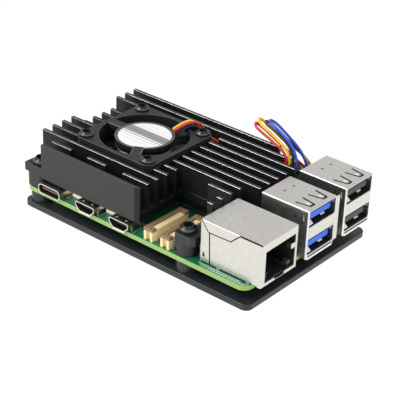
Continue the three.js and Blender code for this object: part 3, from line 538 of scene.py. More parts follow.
def build_base_plate():
    """The plate with its card notch on the left edge, and four stand-offs."""
    low, high = node_box("base_plate")
    top = low.z + PLATE_THICKNESS
    bm = bmesh.new()
    middle_y = (low.y + high.y) / 2
    corner_steps = 8
    outline = rounded(low.x, high.x, low.y, high.y, 2.3, corner_steps)
    notch = [(low.x, middle_y + 7), (3, middle_y + 7), (5, middle_y + 5),
             (5, middle_y - 5), (3, middle_y - 7), (low.x, middle_y - 7)]
    left_edge = 3 * (corner_steps + 1)
    outline = outline[:left_edge] + notch + outline[left_edge:]
    holes = [circle(x, y, HOLE_RADIUS, HOLE_STEPS) for x, y in HOLES]
    sheet(bm, [outline, *holes], low.z, top, bevel=0.35, segments=3, angle=50)
    for x, y in HOLES:
        ring(bm, POST_RADIUS, HOLE_RADIUS, top - 0.2, -BOARD_THICKNESS, (x, y), 48)
    stand_in("base_plate", united(bm), [PLATE_BLACK], "black_anodised_aluminium")


def build_board():
    """The green board with its round corners and screw holes."""
    bm = bmesh.new()
    outline = rounded(0, BOARD_LENGTH, 0, BOARD_WIDTH, 3, 8)
    holes = [circle(x, y, HOLE_RADIUS, HOLE_STEPS) for x, y in HOLES]
    sheet(bm, [outline, *holes], -BOARD_THICKNESS, 0, material=0, side=1)
    stand_in("circuit_board", bm, [MASK, BOARD_EDGE], "green_circuit_board")


build_base_plate()
build_board()

# ---------------------------------------------------------------- heatsink

SINK_LOW, SINK_HIGH = node_box("heatsink")
SINK_LEFT, SINK_RIGHT, SINK_BACK = SINK_LOW.x, SINK_HIGH.x, 49.7
SINK_BOTTOM, SINK_FLOOR, FIN_TOP = 4.3, 7.1, SINK_HIGH.z
FIN_FIRST, FIN_PITCH, FIN_THICKNESS, FIN_CHAMFER = 0.05, 4.02, 1.1, 0.08
LOW_FIN_TOP, LOW_FIN_LEFT = 12.7, 0.8
# The wall on the front edge, and how far its right end's corner is cut along x and y.
FRONT_WALL_Y, FRONT_WALL_LEFT, FRONT_WALL_BOTTOM = 0.35, 6.6, 4
WALL_CORNER = (1.7, 0.55)
# The cut round the camera sockets (left, right, back), and the fan's pocket (left, right).
CAMERA_CUT = (45.7, 57.7, 20.0)
POCKET = (9.9, 40.7)
ARM_LEFT, ARM_RIGHT = 64.2, 66.0

# Each fin is (row, from x, to x) with an optional top height.
FINS = [
    (1, 7.4, 15.4), (1, 22, 29.2), (1, 36, CAMERA_CUT[0]),
    (2, SINK_LEFT, CAMERA_CUT[0]), (2, ARM_LEFT, ARM_RIGHT),
    (3, SINK_LEFT, POCKET[0]), (3, POCKET[1], CAMERA_CUT[0]), (3, ARM_LEFT, ARM_RIGHT),
    (4, SINK_LEFT, POCKET[0]), (4, POCKET[1], CAMERA_CUT[0]), (4, CAMERA_CUT[1], ARM_RIGHT),
    (5, SINK_LEFT, POCKET[0]), (5, POCKET[1], ARM_RIGHT),
    (10, SINK_LEFT, POCKET[0]), (10, 41.6, SINK_RIGHT),
    (11, SINK_LEFT, 65.5),
    (12, SINK_LEFT, 58.2),
]
for low_row in (6, 7, 8, 9):
    FINS += [(low_row, LOW_FIN_LEFT, POCKET[0], LOW_FIN_TOP), (low_row, POCKET[1], SINK_RIGHT)]


def fin(bm, x0, x1, front, bottom, top, chamfer, edge_material):
    """An upright fin along x; its top front edge, cut at 45 degrees, has its own finish."""
    back = front + FIN_THICKNESS
    back_chamfer = 0.08
    profile = [(front, bottom), (back, bottom), (back, top - back_chamfer),
               (back - back_chamfer, top), (front + chamfer, top), (front, top - chamfer)]
    front_cut = 4
    part = bmesh.new()
    ends = [[part.verts.new((x, y, z)) for y, z in profile] for x in (x0, x1)]
    part.faces.new(ends[0])
    part.faces.new(ends[1])
    for i in range(len(profile)):
        j = (i + 1) % len(profile)
        face = part.faces.new((ends[0][i], ends[0][j], ends[1][j], ends[1][i]))
        face.material_index = edge_material if i == front_cut else 0
    bmesh.ops.recalc_face_normals(part, faces=part.faces)
    merge(bm, part)


def sink_outline():
    """The floor's outline: a screw ear at each corner and the cut round the camera sockets."""
    ear_left = 58.6
    ear_front = SINK_LOW.y
    ear_back = 6.8
    arm_left = 62
    bulge_front, bulge_back = 19.6, 45.8
    corner_left, corner_right = 6.7, 58.4
    arm_back = FIN_FIRST + 4 * FIN_PITCH
    cut = 1.0
    left, right, back = CAMERA_CUT
    return [
        (SINK_LEFT, FRONT_WALL_Y), (left, FRONT_WALL_Y), (left, back), (right, back),
        (right, arm_back), (arm_left, arm_back), (arm_left, ear_back), (ear_left + cut, ear_back),
        (ear_left, ear_back - cut), (ear_left, ear_front + cut), (ear_left + cut, ear_front),
        (ARM_RIGHT - cut, ear_front), (ARM_RIGHT, ear_front + cut), (ARM_RIGHT, bulge_front),
        (SINK_RIGHT, bulge_front), (SINK_RIGHT, bulge_back), (ARM_RIGHT, bulge_back),
        (ARM_RIGHT, BOARD_WIDTH), (corner_right, BOARD_WIDTH), (corner_right, SINK_BACK),
        (corner_left, SINK_BACK), (corner_left, BOARD_WIDTH), (SINK_LEFT, BOARD_WIDTH),
    ]


FAN_LOW, FAN_HIGH = node_box("fan_frame")
FAN_X = (FAN_LOW.x + FAN_HIGH.x) / 2
FAN_Y = (FAN_LOW.y + FAN_HIGH.y) / 2
FAN_HOLES = [(middle(f"fan_screw_{i}").x, middle(f"fan_screw_{i}").y) for i in range(1, 5)]


def build_heatsink():
    """Floor, front wall, fins, posts and chip seats in one skin, then the finishes."""
    bm = bmesh.new()
    holes = [circle(x, y, HOLE_RADIUS, HOLE_STEPS) for x, y in HOLES]
    sheet(bm, [sink_outline(), *holes], SINK_BOTTOM, SINK_FLOOR, bevel=0.15, segments=1,
          angle=50)
    fin(bm, FRONT_WALL_LEFT, CAMERA_CUT[0], FRONT_WALL_Y, FRONT_WALL_BOTTOM, FIN_TOP, 0.12, 0)
    for row, x0, x1, *top in FINS:
        front = FIN_FIRST + row * FIN_PITCH
        chamfer = FIN_CHAMFER if x1 > POCKET[0] else FIN_CHAMFER / 2
        fin(bm, x0, x1, front, SINK_FLOOR - 0.5, top[0] if top else FIN_TOP, chamfer, 1)
    for x, y in HOLES:
        hole = circle(x, y, HOLE_RADIUS, HOLE_STEPS)
        if x < BOARD_LENGTH / 2:
            post = rounded(x - POST_RADIUS, x + POST_RADIUS, y - POST_RADIUS, y + POST_RADIUS, 1.5)
        else:
            post = circle(x, y, POST_RADIUS, 48)
        sheet(bm, [post, hole], 0, SINK_BOTTOM + 0.5, bevel=0.1, segments=1, angle=50)
    for x, y in FAN_HOLES:
        ring(bm, 2.4, 1.3, SINK_FLOOR - 0.5, FAN_LOW.z, (x, y), 32)
    for chip in ("processor", "memory_chip", "io_controller", "power_chip"):
        low, high = node_box(f"{chip}_pad")
        block(bm, (low.x - 0.5, low.y - 0.5, high.z), (high.x + 0.5, high.y + 0.5, 4.8))
    finishes = [ANODISED, CUT_EDGE, ANODISED_LIT_FRONT, ANODISED_LIGHTER_TOP, ANODISED_SHADED_END]
    corner_x, corner_y = CAMERA_CUT[0] - WALL_CORNER[0], FRONT_WALL_Y + WALL_CORNER[1]
    wedge = bmesh.new()
    sheet(wedge, [[(corner_x, FRONT_WALL_Y), (corner_x, FRONT_WALL_Y - 1),
                   (CAMERA_CUT[0] + 1, FRONT_WALL_Y - 1), (CAMERA_CUT[0] + 1, corner_y),
                   (CAMERA_CUT[0], corner_y)]], SINK_BOTTOM - 1, FIN_TOP + 1)
    sink = carved(united(bm, finishes), wedge, finishes)
    # Painted light: faces turned to the front, near the front edge, get the lighter anodised copy.
    paint(sink, 2, lambda normal, centre: normal.y < -0.35 and centre.y < 2.5)
    # The wall's cut corner goes back to the plain, darker anodising, as painted shade beside the lit
    # front.
    paint(sink, 0, lambda normal, centre: normal.x > 0.2 and corner_x < centre.x < CAMERA_CUT[0]
          and centre.y < corner_y)
    # The fin tops get the lighter anodised tone.
    paint(sink, 3, lambda normal, centre: normal.z > 0.9 and centre.z > FIN_TOP - 0.01)
    # Painted shade: the ends that face +x at the camera cut get the darker copy.
    paint(sink, 4, lambda normal, centre: normal.x > 0.9 and centre.x < CAMERA_CUT[0] + 0.1
          and centre.z > 1)
    stand_in("heatsink", sink, finishes, "black_anodised_aluminium", smooth=30)


build_heatsink()

# ---------------------------------------------------------------- fan

FAN_TOP = FAN_HIGH.z
FAN_BOTTOM = FAN_LOW.z
BORE = 13.7
FAN_CENTRE = (FAN_X, FAN_Y)
LABEL_RADIUS = 8.1
ROUND_STEPS = 72
BLADES = 7
BLADE_ROOT, BLADE_TIP, BLADE_RISE = 8.4, 13.1, 3


def strut(bm, angle, top, bottom):
    """A bar from the motor base to the frame, at an angle about the fan's axis."""
    half_width = 1.6
    part = bmesh.new()
    block(part, (8, -half_width, bottom), (BORE + 0.3, half_width, top), bevel=0.25)
    turn = Matrix.Translation((FAN_X, FAN_Y, 0)) @ Matrix.Rotation(angle, 4, "Z")
    merge(bm, part, 0, turn)


def build_fan_frame():
    """A square frame with a round bore, and the motor base on three struts."""
    bm = bmesh.new()
    square = rounded(FAN_LOW.x, FAN_HIGH.x, FAN_LOW.y, FAN_HIGH.y, 3, 8)
    screw_holes = [circle(x, y, HOLE_RADIUS, 20) for x, y in FAN_HOLES]
    bore = circle(*FAN_CENTRE, BORE, ROUND_STEPS)
    for z0, z1 in ((FAN_BOTTOM, FAN_BOTTOM + 2), (FAN_TOP - 2.4, FAN_TOP)):
        sheet(bm, [square, bore, *screw_holes], z0, z1, bevel=0.3, segments=3, angle=50)
    ring(bm, BORE + 0.9, BORE, FAN_BOTTOM + 1.5, FAN_TOP - 2, FAN_CENTRE, ROUND_STEPS)
    top = FAN_TOP - 0.2
    base = 14.2
    profile = [(0, base), (8.7, base), (9.1, base + 0.4), (9.1, top - 0.3), (8.98, top - 0.08),
               (8.75, top), (8.4, top), (8.25, top - 0.1), (8.2, top - 0.3), (0, top - 0.3)]
    lathe(bm, profile, FAN_CENTRE, ROUND_STEPS)
    # The third strut is low, because the wires leave over it.
    for angle, strut_top in ((180, FAN_TOP - 0.1), (-60, FAN_TOP - 0.1), (60, 15)):
        strut(bm, math.radians(angle), strut_top, base)
    notch = bmesh.new()
    block(notch, (31, FAN_HIGH.y - 3.2, 13.8), (34.9, FAN_HIGH.y + 1, FAN_TOP + 1))
    finishes = [FAN_PLASTIC, FAN_EDGE_HIGHLIGHT]
    body = carved(united(bm, finishes), notch, finishes)
    edge = 0.31
    # Painted highlight: the rounded top edges of the frame and of its bore get the lighter copy.
    paint(body, 1, lambda normal, centre: 0.3 < normal.z < 0.95 and centre.z > FAN_TOP - edge)
    stand_in("fan_frame", body, finishes, "fan_plastic")


def build_rotor():
    """The hub cup with its steel band, and the blades."""
    low, high = node_box("fan_rotor")
    bm = bmesh.new()
    top = high.z
    profile = [(0, low.z), (8.2, low.z), (8.6, low.z + 0.4), (8.6, top), (8.0, top),
               (8.0, low.z + 0.7), (0, low.z + 0.7)]
    lathe(bm, profile, FAN_CENTRE, ROUND_STEPS)
    # The steel band is drawn in the lighter steel, a painted highlight along the hub's edge.
    band = top - 1
    lathe(bm, [(0, band), (8.9, band), (8.9, band + 0.08), (8.45, band + 0.5), (0, band + 0.5)],
          FAN_CENTRE, ROUND_STEPS, material=1)
    for i in range(BLADES):
        blade(bm, 2 * math.pi * i / BLADES, low.z + 0.25)
    stand_in("fan_rotor", bm, [FAN_PLASTIC, HIGHLIGHT_STEEL], "fan_plastic", body="rotor")


def blade(bm, start, bottom):
    """A curved blade that climbs as it sweeps about the shaft, thinning to its edges."""
    part = bmesh.new()
    stations, spans = 13, 7
    grid = {}
    for side in (0, 1):
        for i in range(stations):
            t = i / (stations - 1)
            thickness = 0.15 + 0.5 * math.sin(math.pi * t)
            z = bottom + BLADE_RISE * (0.6 * t + 0.4 * t * t) + side * thickness
            for k in range(spans):
                s = k / (spans - 1)
                radius = BLADE_ROOT + s * (BLADE_TIP - BLADE_ROOT)
                angle = start + 0.62 * t + 0.16 * s * s
                grid[side, i, k] = part.verts.new((FAN_X + radius * math.cos(angle),
                                                   FAN_Y + radius * math.sin(angle), z))
    for i in range(stations - 1):
        for k in range(spans - 1):
            for side in (0, 1):
                part.faces.new((grid[side, i, k], grid[side, i + 1, k],
                                grid[side, i + 1, k + 1], grid[side, i, k + 1]))
        for k in (0, spans - 1):
            part.faces.new((grid[0, i, k], grid[0, i + 1, k], grid[1, i + 1, k],
                            grid[1, i, k]))
    for k in range(spans - 1):
        for i in (0, stations - 1):
            part.faces.new((grid[0, i, k], grid[0, i, k + 1], grid[1, i, k + 1],
                            grid[1, i, k]))
    bmesh.ops.recalc_face_normals(part, faces=part.faces)
    merge(bm, part, 0)


def label_finish():
    """White film with a plain grey band and fine rules; it carries no lettering."""
    material, tree, shader = new_material("fan_label_film")
    place = tree.nodes.new("ShaderNodeTexCoord")
    split = add_node(tree, "ShaderNodeSeparateXYZ", {"Vector": place.outputs["Object"]})
    offset = maths(tree, "SUBTRACT", split.outputs["Y"], ORIGIN.y + FAN_Y * MM)
    half = LABEL_RADIUS * MM
    ramp = add_node(tree, "ShaderNodeValToRGB", {"Fac": remap(tree, offset, 0, 1, -half, half)})
    ramp.color_ramp.interpolation = "CONSTANT"
    white, grey, rule = (0.84, 0.84, 0.83, 1), (0.27, 0.27, 0.275, 1), (0.12, 0.12, 0.125, 1)
    faint = (0.62, 0.62, 0.64, 1)
    stops = [(0.2, faint), (0.22, white), (0.3, faint), (0.325, white),
             (0.385, rule), (0.405, white), (0.444, grey), (0.545, rule), (0.56, grey),
             (0.673, white), (0.74, faint), (0.76, white), (0.84, faint), (0.855, white)]
    ramp.color_ramp.elements.remove(ramp.color_ramp.elements[1])
    ramp.color_ramp.elements[0].color = white
    for position, color in stops:
        ramp.color_ramp.elements.new(position).color = color
    set_inputs(tree, shader, {"Base Color": ramp.outputs["Color"], "Roughness": 0.45})
    return material


def build_label():
    """A thin round sticker on the motor base."""
    low, high = node_box("fan_label")
    bm = bmesh.new()
    profile = [(0, low.z), (LABEL_RADIUS, low.z), (LABEL_RADIUS, high.z - 0.05),
               (LABEL_RADIUS - 0.05, high.z), (0, high.z)]
    lathe(bm, profile, FAN_CENTRE, ROUND_STEPS)
    stand_in("fan_label", bm, [label_finish()], "label_paper")


build_fan_frame()
build_rotor()
build_label()
for node, finish in (("fan_magnet", MAGNET), ("fan_shaft", BRIGHT_STEEL),
                     ("fan_bearing", BRONZE), ("fan_coils", COPPER)):
    finish_node(node, finish)

# ---------------------------------------------------------------- screws


def build_screw(node, seat, head_radius, head_height):
    """A button-head screw with a hexagonal socket."""
    low, high = node_box(node)
    x, y = (low.x + high.x) / 2, (low.y + high.y) / 2
    bm = bmesh.new()
    rise = [(math.cos(a), math.sin(a)) for a in [math.radians(9 * k) for k in range(1, 9)]]
    dome = [(head_radius * c, seat + head_height * (0.3 + 0.7 * s)) for c, s in rise]
    flat = head_radius * 0.66
    dome = [(r, z) for r, z in dome if r > flat * 1.08]
    top = seat + head_height
    bottom = seat + head_height * 0.4
    profile = [(0, low.z), (1.0, low.z), (1.15, low.z + 0.2), (1.15, seat), (head_radius * 0.96, seat),
               (head_radius, seat + 0.1), (head_radius, seat + head_height * 0.3), *dome,
               (flat, top), (flat * 0.9, top - 0.08), (flat * 0.9, bottom), (0, bottom - 0.15)]
    lathe(bm, profile, (x, y), 36)
    sheet(bm, [circle(x, y, flat * 1.02, 36), circle(x, y, flat * 0.86, 6)],
          bottom - 0.1, top - 0.16)
    rim = head_radius * 0.9
    # Painted highlight: the rim and the socket's edge of each head get the lighter steel.
    paint(bm, 1, lambda normal, centre: 0.2 < normal.z < 0.8
          and (math.hypot(centre.x - x, centre.y - y) > rim or centre.z > top - 0.12))
    stand_in(node, bm, [BLACK_STEEL, HIGHLIGHT_STEEL], "black_steel")


for index in range(1, 5):
    build_screw(f"case_screw_{index}", SINK_FLOOR, 2.6, 1.9)
    build_screw(f"fan_screw_{index}", FAN_TOP, 2.2, 1.3)

# ---------------------------------------------------------------- wires

# The wires' radius and spacing, and the middle of the groove between two fins.
WIRE_RADIUS = 0.42
PITCH = 1.2
GROOVE_Y, GROOVE_Z = 43.1, 10.6
SQUARE = [(-0.5, -0.5), (0.5, -0.5), (-0.5, 0.5), (0.5, 0.5)]
TURNING = [(-0.4, -1.2), (0.4, -0.5), (-0.4, 0.5), (0.4, 1.2)]
STACKED = [(0, -1.5), (0, -0.5), (0, 0.5), (0, 1.5)]
# A station is (centre, across, up, layout of the four wires).
STATIONS = [
    ((30.35, 33.3, 16.2), (0.85, -0.53, 0), (0, 0, 1), SQUARE),
    ((31.4, 35.9, 17.3), (0.85, -0.4, 0), (-0.2, -0.4, 1), SQUARE),
    ((32.3, 38, 17.7), (1, -0.2, 0), (0.1, 0.15, 1), SQUARE),
    ((33.2, 40.6, 16.2), (1, -0.1, 0.3), (0.1, 0.8, 0.9), SQUARE),
    ((34.7, 42, 12.6), (0.6, -0.8, 0.2), (0.8, 0.5, 0.9), TURNING),
    ((38.4, GROOVE_Y - 0.1, 10.5), (0, -1, 0), (0.4, 0, 1), STACKED),
    ((44, GROOVE_Y, GROOVE_Z), (0, -1, 0), (0, 0, 1), STACKED),
    ((60, GROOVE_Y, GROOVE_Z), (0, -1, 0), (0, 0, 1), STACKED),
    ((64.2, GROOVE_Y, GROOVE_Z + 0.9), (0, -1, 0), (-0.6, 0, 1), STACKED),
    ((66.8, GROOVE_Y, 14.6), (0, -1, 0), (-1, 0, 0.1), STACKED),
]
# Each loop runs up the near strand, round the tip and down the far strand.
LOOPS = [
    [(67.1, 43.2, 19.3), (61.6, 44.1, 22.6), (57.1, 44.7, 24.1), (56.2, 45.7, 24.3),
     (57.1, 46.7, 23.7), (62, 47.1, 20.8), (67, 47.5, 16.8), (69, 47.9, 12.4)],
    [(66.1, 43.2, 18.9), (61, 44, 21.8), (55.7, 44.7, 23.3), (54.8, 45.7, 23.5),
     (55.7, 46.7, 22.9), (61.8, 47.2, 19.4), (66.2, 48.5, 15.9), (68.5, 49.1, 12.2)],
    [(64.8, 43.1, 18.2), (60.2, 43.8, 20.4), (53.3, 44.7, 22.9), (52.4, 45.7, 23.6),
     (53.3, 46.8, 22.6), (61, 47.6, 18.2), (65.4, 50.1, 14.8), (67.9, 51.5, 11.5)],
    [(63.6, 43.1, 17.4), (59, 43.6, 19.1), (52, 44.6, 21.3), (51.2, 45.6, 21.8),
     (52, 46.6, 20.9), (60.4, 47.1, 16.7), (64.8, 48.9, 12.9), (67.6, 50.3, 10.2)],
]
PLUG_LOW, PLUG_HIGH = node_box("fan_plug")
PLUG_X = (PLUG_LOW.x + PLUG_HIGH.x) / 2
PLUG_Y = (PLUG_LOW.y + PLUG_HIGH.y) / 2
PIN_OF_WIRE = [0, 1, 3, 2]


def wire_points(index):
    """One wire's path from the motor base through its loop to the plug."""
    points = []
    for centre, across, up, layout in STATIONS:
        sideways, upwards = layout[index]
        points.append(Vector(centre) + Vector(across).normalized() * sideways * PITCH
                      + Vector(up).normalized() * upwards * PITCH)
    points += [Vector(p) for p in LOOPS[index]]
    pin_y = PLUG_Y + (PIN_OF_WIRE[index] - 1.5) * PITCH
    points += [Vector((PLUG_X, pin_y, 8)), Vector((PLUG_X, pin_y, PLUG_HIGH.z - 0.3))]
    start = points[0] + (points[0] - points[1]).normalized() * 0.6
    return [start] + points


def smooth_curve(points, step=0.45):
    """Centripetal Catmull-Rom curve through the points."""
    ends = [points[0] * 2 - points[1]] + points + [points[-1] * 2 - points[-2]]
    knots = [0.0]
    for a, b in zip(ends, ends[1:]):
        knots.append(knots[-1] + math.sqrt((b - a).length))
    curve = []
    for i in range(1, len(ends) - 2):
        p0, p1, p2, p3 = ends[i - 1:i + 3]
        t0, t1, t2, t3 = knots[i - 1:i + 3]
        count = max(2, round((p2 - p1).length / step))
        for k in range(count):
            t = t1 + (t2 - t1) * k / count
            a1 = p0 * ((t1 - t) / (t1 - t0)) + p1 * ((t - t0) / (t1 - t0))
            a2 = p1 * ((t2 - t) / (t2 - t1)) + p2 * ((t - t1) / (t2 - t1))
            a3 = p2 * ((t3 - t) / (t3 - t2)) + p3 * ((t - t2) / (t3 - t2))
            b1 = a1 * ((t2 - t) / (t2 - t0)) + a2 * ((t - t0) / (t2 - t0))
            b2 = a2 * ((t3 - t) / (t3 - t1)) + a3 * ((t - t1) / (t3 - t1))
            curve.append(b1 * ((t2 - t) / (t2 - t1)) + b2 * ((t - t1) / (t2 - t1)))
    curve.append(points[-1])
    return curve


for index, (color, finish) in enumerate([("blue", WIRE_BLUE), ("black", WIRE_BLACK),
                                         ("yellow", WIRE_YELLOW), ("red", WIRE_RED)]):
    wire_mesh = bmesh.new()
    tube(wire_mesh, smooth_curve(wire_points(index)), WIRE_RADIUS, 14)
    stand_in(f"wire_{color}", wire_mesh, [finish], f"{color}_insulation", weighted=False)

# ---------------------------------------------------------------- network socket

# A darker copy of the plated steel: painted shade for the sockets' side walls.
SHADED_SIDE_STEEL = surface("steel_painted_side_shade", (0.36, 0.36, 0.365), (0.5, 0.5, 0.505), (0.3, 0.45),
                     metallic=1.0, grain=1.2, bump=0.08, stretch=(0.4, 1, 1))
LIGHT_PIPE = surface("light_pipe", (0.03, 0.034, 0.022), (0.09, 0.1, 0.07), (0.15, 0.25),
                     grain=1.5, bump=0.05, coat=0.3)
FOLD = 0.35


def hollow(tool, low, high):
    """The inside of a folded sheet shell, open at the bottom."""
    block(tool, (low.x + FOLD, low.y + FOLD, low.z - 1),
          (high.x - FOLD, high.y - FOLD, high.z - FOLD))


def build_network_shell():
    """Folded sheet: the top's flap is hooked over the side along a stepped seam."""
    low, high = node_box("network_socket_shell")
    steel = [PLATED_BRUSHED, PLATED, RECESS_SHADE]
    bm = bmesh.new()
    block(bm, low, high, bevel=0.3, segments=3)
    tool = bmesh.new()
    hollow(tool, low, high)
    block(tool, (low.x + 0.6, low.y - 1, low.z - 1), (high.x - 1.2, high.y + 1, low.z + 0.55))
    left, right = low.y + 1.75, high.y - 1.1
    opening = [(left, low.z + 1.05), (low.y + 6.1, low.z + 1.05), (low.y + 6.3, low.z + 0.3),
               (low.y + 10.5, low.z + 0.3), (low.y + 10.7, low.z + 1.1),
               (right, low.z + 1.1), (right, high.z - 2.4), (left, high.z - 2.65)]
    sheet(tool, [opening], high.x - 1, high.x + 1, normal="x")
    seam = [(low.x + 0.1, high.z + 0.2), (low.x + 2.85, high.z - 3.3),
            (low.x + 10.6, high.z - 3.05), (low.x + 13.6, high.z - 0.22),
            (high.x + 0.2, high.z - 0.16)]
    upright = [(low.x + 3.2, high.z - 3.4), (low.x + 3.7, low.z - 0.5)]
    groove_end = low.y + 0.28
    for path, width in ((seam, 0.34), (upright, 0.42)):
        sheet(tool, [ribbon(path, width)], low.y - 1, groove_end, normal="y")
    block(tool, (low.x + 1, low.y - 1, low.z + 2), (low.x + 1.95, low.y + 1, low.z + 3.5))
    shell = carved(bm, tool, steel)
    block(shell, (high.x - 1.8, right - 1.75, low.z + 6.8), (high.x - 0.05, right + 0.3, low.z + 8.4),
          material=1, bevel=0.15)
    block(shell, (low.x + 1.1, low.y + 0.5, low.z + 2.1), (low.x + 1.6, low.y + 0.7, low.z + 3.2),
          material=1, bevel=0.05)
    legs(shell, (low.x + 6, high.x - 5), (low.y + 0.05, high.y - 0.4), (1.2, 0.3), low.z + 0.8,
         bevel=0.08)
    paint(shell, 1, lambda normal, centre: abs(normal.x) > 0.9 or normal.y < -0.9)
    # Painted shade: the bottoms of the seam grooves cut in the -y face get the near-black finish.
    paint(shell, 2, lambda normal, centre: low.y + 0.2 < centre.y < low.y + 0.3
          and centre.x < high.x - 0.5)
    stand_in("network_socket_shell", shell, steel, "plated_steel", smooth=30)


def build_network_insert():
    """The dark moulding inside, with eight sprung contacts and two light windows."""
    low, high = node_box("network_socket_insert")
    bm = bmesh.new()
    block(bm, (low.x, low.y, low.z + 0.2), high, bevel=0.1)
    tool = bmesh.new()
    left, right = low.y + 1.35, high.y - 0.7
    cavity = [(left, low.z + 0.6), (right, low.z + 0.6), (right, high.z - 2),
              (left, high.z - 2)]
    sheet(tool, [cavity], high.x - 13.5, high.x + 1, normal="x")
    moulding = carved(bm, tool, [BLACK_PLASTIC])
    for y in spaced((left + right) / 2, 8, 1.02):
        path = [(high.x - 13.4, y, high.z - 3.2), (high.x - 8, y, high.z - 2.9),
                (high.x - 4.5, y, high.z - 3.3), (high.x - 10, y, high.z - 6.2)]
        tube(moulding, path, 0.18, 6, material=1)
    for y in (left + 0.05, right - 1.85):
        block(moulding, (high.x - 2.4, y, low.z + 0.62), (high.x - 0.4, y + 1.8, low.z + 2.2),
              material=2, bevel=0.2)
    for y in (left + 2.7, right - 3.1):
        block(moulding, (high.x - 9, y, low.z + 0.62), (high.x - 1, y + 0.4, low.z + 2.2),
              bevel=0.05)
    stand_in("network_socket_insert", moulding, [BLACK_PLASTIC, GOLD, LIGHT_PIPE],
             "black_plastic")


build_network_shell()
build_network_insert()

# ---------------------------------------------------------------- double-decker USB sockets

# The mouths' and the tongues' lower and upper sides, and the reach of a cut through the top.
USB_LEVELS = ((1.35, 6.4), (10.1, 15.1))
TONGUE_RISE = (1.8, 3.75)
TOP_CUT = (14.5, 16.5)


def spring_finger(tool, centre_y, back, tip):
    """Two slits that narrow towards the front, and the gap in front of the finger."""
    for side in (-1, 1):
        slit = [(back, centre_y + side * 1.7), (tip, centre_y + side * 0.85)]
        sheet(tool, [ribbon(slit, 0.6)], *TOP_CUT)
    gap = [(tip - 0.6, centre_y - 0.95), (tip + 0.2, centre_y - 0.75),
           (tip + 0.2, centre_y + 0.75), (tip - 0.6, centre_y + 0.95)]
    sheet(tool, [gap], *TOP_CUT)


def side_clip(tool, x, z, y):
    """A three-sided slit round a catch in the side wall."""
    outline = [(x, z + 0.5), (x + 4.2, z + 0.9), (x + 4.4, z - 1.4), (x, z - 1.9)]
    sheet(tool, [ribbon(outline, 0.22)], y - 0.5, y + 0.6, normal="y")


def build_usb_shell(name, has_flange):
    """Folded sheet with two mouths, and two spring fingers cut in its top."""
    low, high = node_box(f"{name}_shell")
    steel = [PLATED_BRUSHED, PLATED, SHADED_SIDE_STEEL, BRIGHT_METAL_AND_HIGHLIGHT]
    bm = bmesh.new()
    block(bm, low, high, bevel=0.32, segments=3)
    tool = bmesh.new()
    hollow(tool, low, high)
    for bottom, top in USB_LEVELS:
        mouth = rounded(low.y + 0.5, high.y - 0.5, low.z + bottom, low.z + top, 0.5, 4)
        sheet(tool, [mouth], high.x - 1, high.x + 1, normal="x")
    block(tool, (high.x - 1, low.y + 1, low.z + 0.42), (high.x + 1, high.y - 0.7, low.z + 0.95))
    middle_y = (low.y + high.y) / 2
    fingers = spaced(middle_y, 2, 5.9)
    for y in fingers:
        spring_finger(tool, y, low.x + 10.4, low.x + 15.1)
    for x, y in ((3.9, middle_y - 1.4), (4.1, middle_y + 2.5)):
        pip = rounded(low.x + x, low.x + x + 0.75, y - 0.3, y + 0.3, 0.25, 4)
        sheet(tool, [pip], *TOP_CUT)
    side_clip(tool, low.x + 10.6, low.z + 13, low.y)
    block(tool, (low.x + 11.8, low.y - 1, low.z + 12), (low.x + 12.4, low.y + 1, low.z + 13))
    shell = carved(bm, tool, steel)
    paint(shell, 1, lambda normal, centre: abs(normal.x) > 0.9)
    # Painted shade: the side walls get the darker steel.
    paint(shell, 2, lambda normal, centre: abs(normal.y) > 0.9)
    rolled = low.y + 0.4
    # Painted highlight: the rounded edges on the -y side that face up or forward get the near-white
    # steel.
    paint(shell, 3, lambda normal, centre: normal.y < -0.2 and centre.y < rolled
          and (normal.z > 0.2 or normal.x > 0.2))
    for y in fingers:
        dimple(shell, low.x + 13.4, y, high.z)
    lip(shell, low, high, has_flange)
    for bottom, _ in USB_LEVELS:
        contact_springs(shell, low, high, bottom)
    legs(shell, (low.x + 3, low.x + 11), (low.y + 0.05, high.y - 0.4), (1.6, 0.3), low.z + 0.5,
         bevel=0.08)
    stand_in(f"{name}_shell", shell, steel, "plated_steel", smooth=30)


def dimple(bm, x, y, top):
    """The raised pip pressed in a spring finger's end."""
    profile = [(0.7, top - 0.3), (0.7, top - 0.02), (0.5, top + 0.02), (0, top + 0.02)]
    lathe(bm, [(0, top - 0.3), *profile], (x, y), 20, material=3)


def lip(bm, low, high, has_flange):
    """The flared rim: a strip below the mouths and, on one socket, one beside them."""
    front = high.x - 0.28
    block(bm, (front - 0.5, low.y + 0.9, low.z - 0.35), (high.x, high.y - 0.5, low.z + 0.42),
          material=3, bevel=0.12)
    if has_flange:
        block(bm, (front, high.y - 0.2, low.z + 0.9), (high.x - 0.06, high.y + 1.7, high.z - 0.5),
              material=1, bevel=0.1)


def contact_springs(bm, low, high, bottom):
    """Bright sprung leaves that press on a plug from below and from the side."""
    floor = low.z + bottom
    for y, reach in ((high.y - 4.2, 1.5), (low.y + 1.9, 0.35)):
        path = [(high.x - reach - 4, y, floor + 0.05), (high.x - reach - 1, y, floor + 1.3),
                (high.x - reach, y, floor + 0.45)]
        strip(bm, path, 0.95)
    side = high.y - 0.8
    block(bm, (high.x - 3, side, floor + 3.3), (high.x - 0.7, side + 0.28, floor + 4.5),
          material=3, bevel=0.12)


def strip(bm, path, half_width):
    """A thin bent leaf that is level across y."""
    part = bmesh.new()
    thickness = 0.15
    rows = []
    for x, y, z in path:
        rows.append([part.verts.new((x, y + side * half_width, z + lift))
                     for side, lift in ((-1, 0), (1, 0), (1, thickness), (-1, thickness))])
    for first, second in zip(rows, rows[1:]):
        for k in range(4):
            j = (k + 1) % 4
            part.faces.new((first[k], first[j], second[j], second[k]))
    part.faces.new(rows[0])
    part.faces.new(rows[-1])
    bmesh.ops.recalc_face_normals(part, faces=part.faces)
    merge(bm, part, 3)


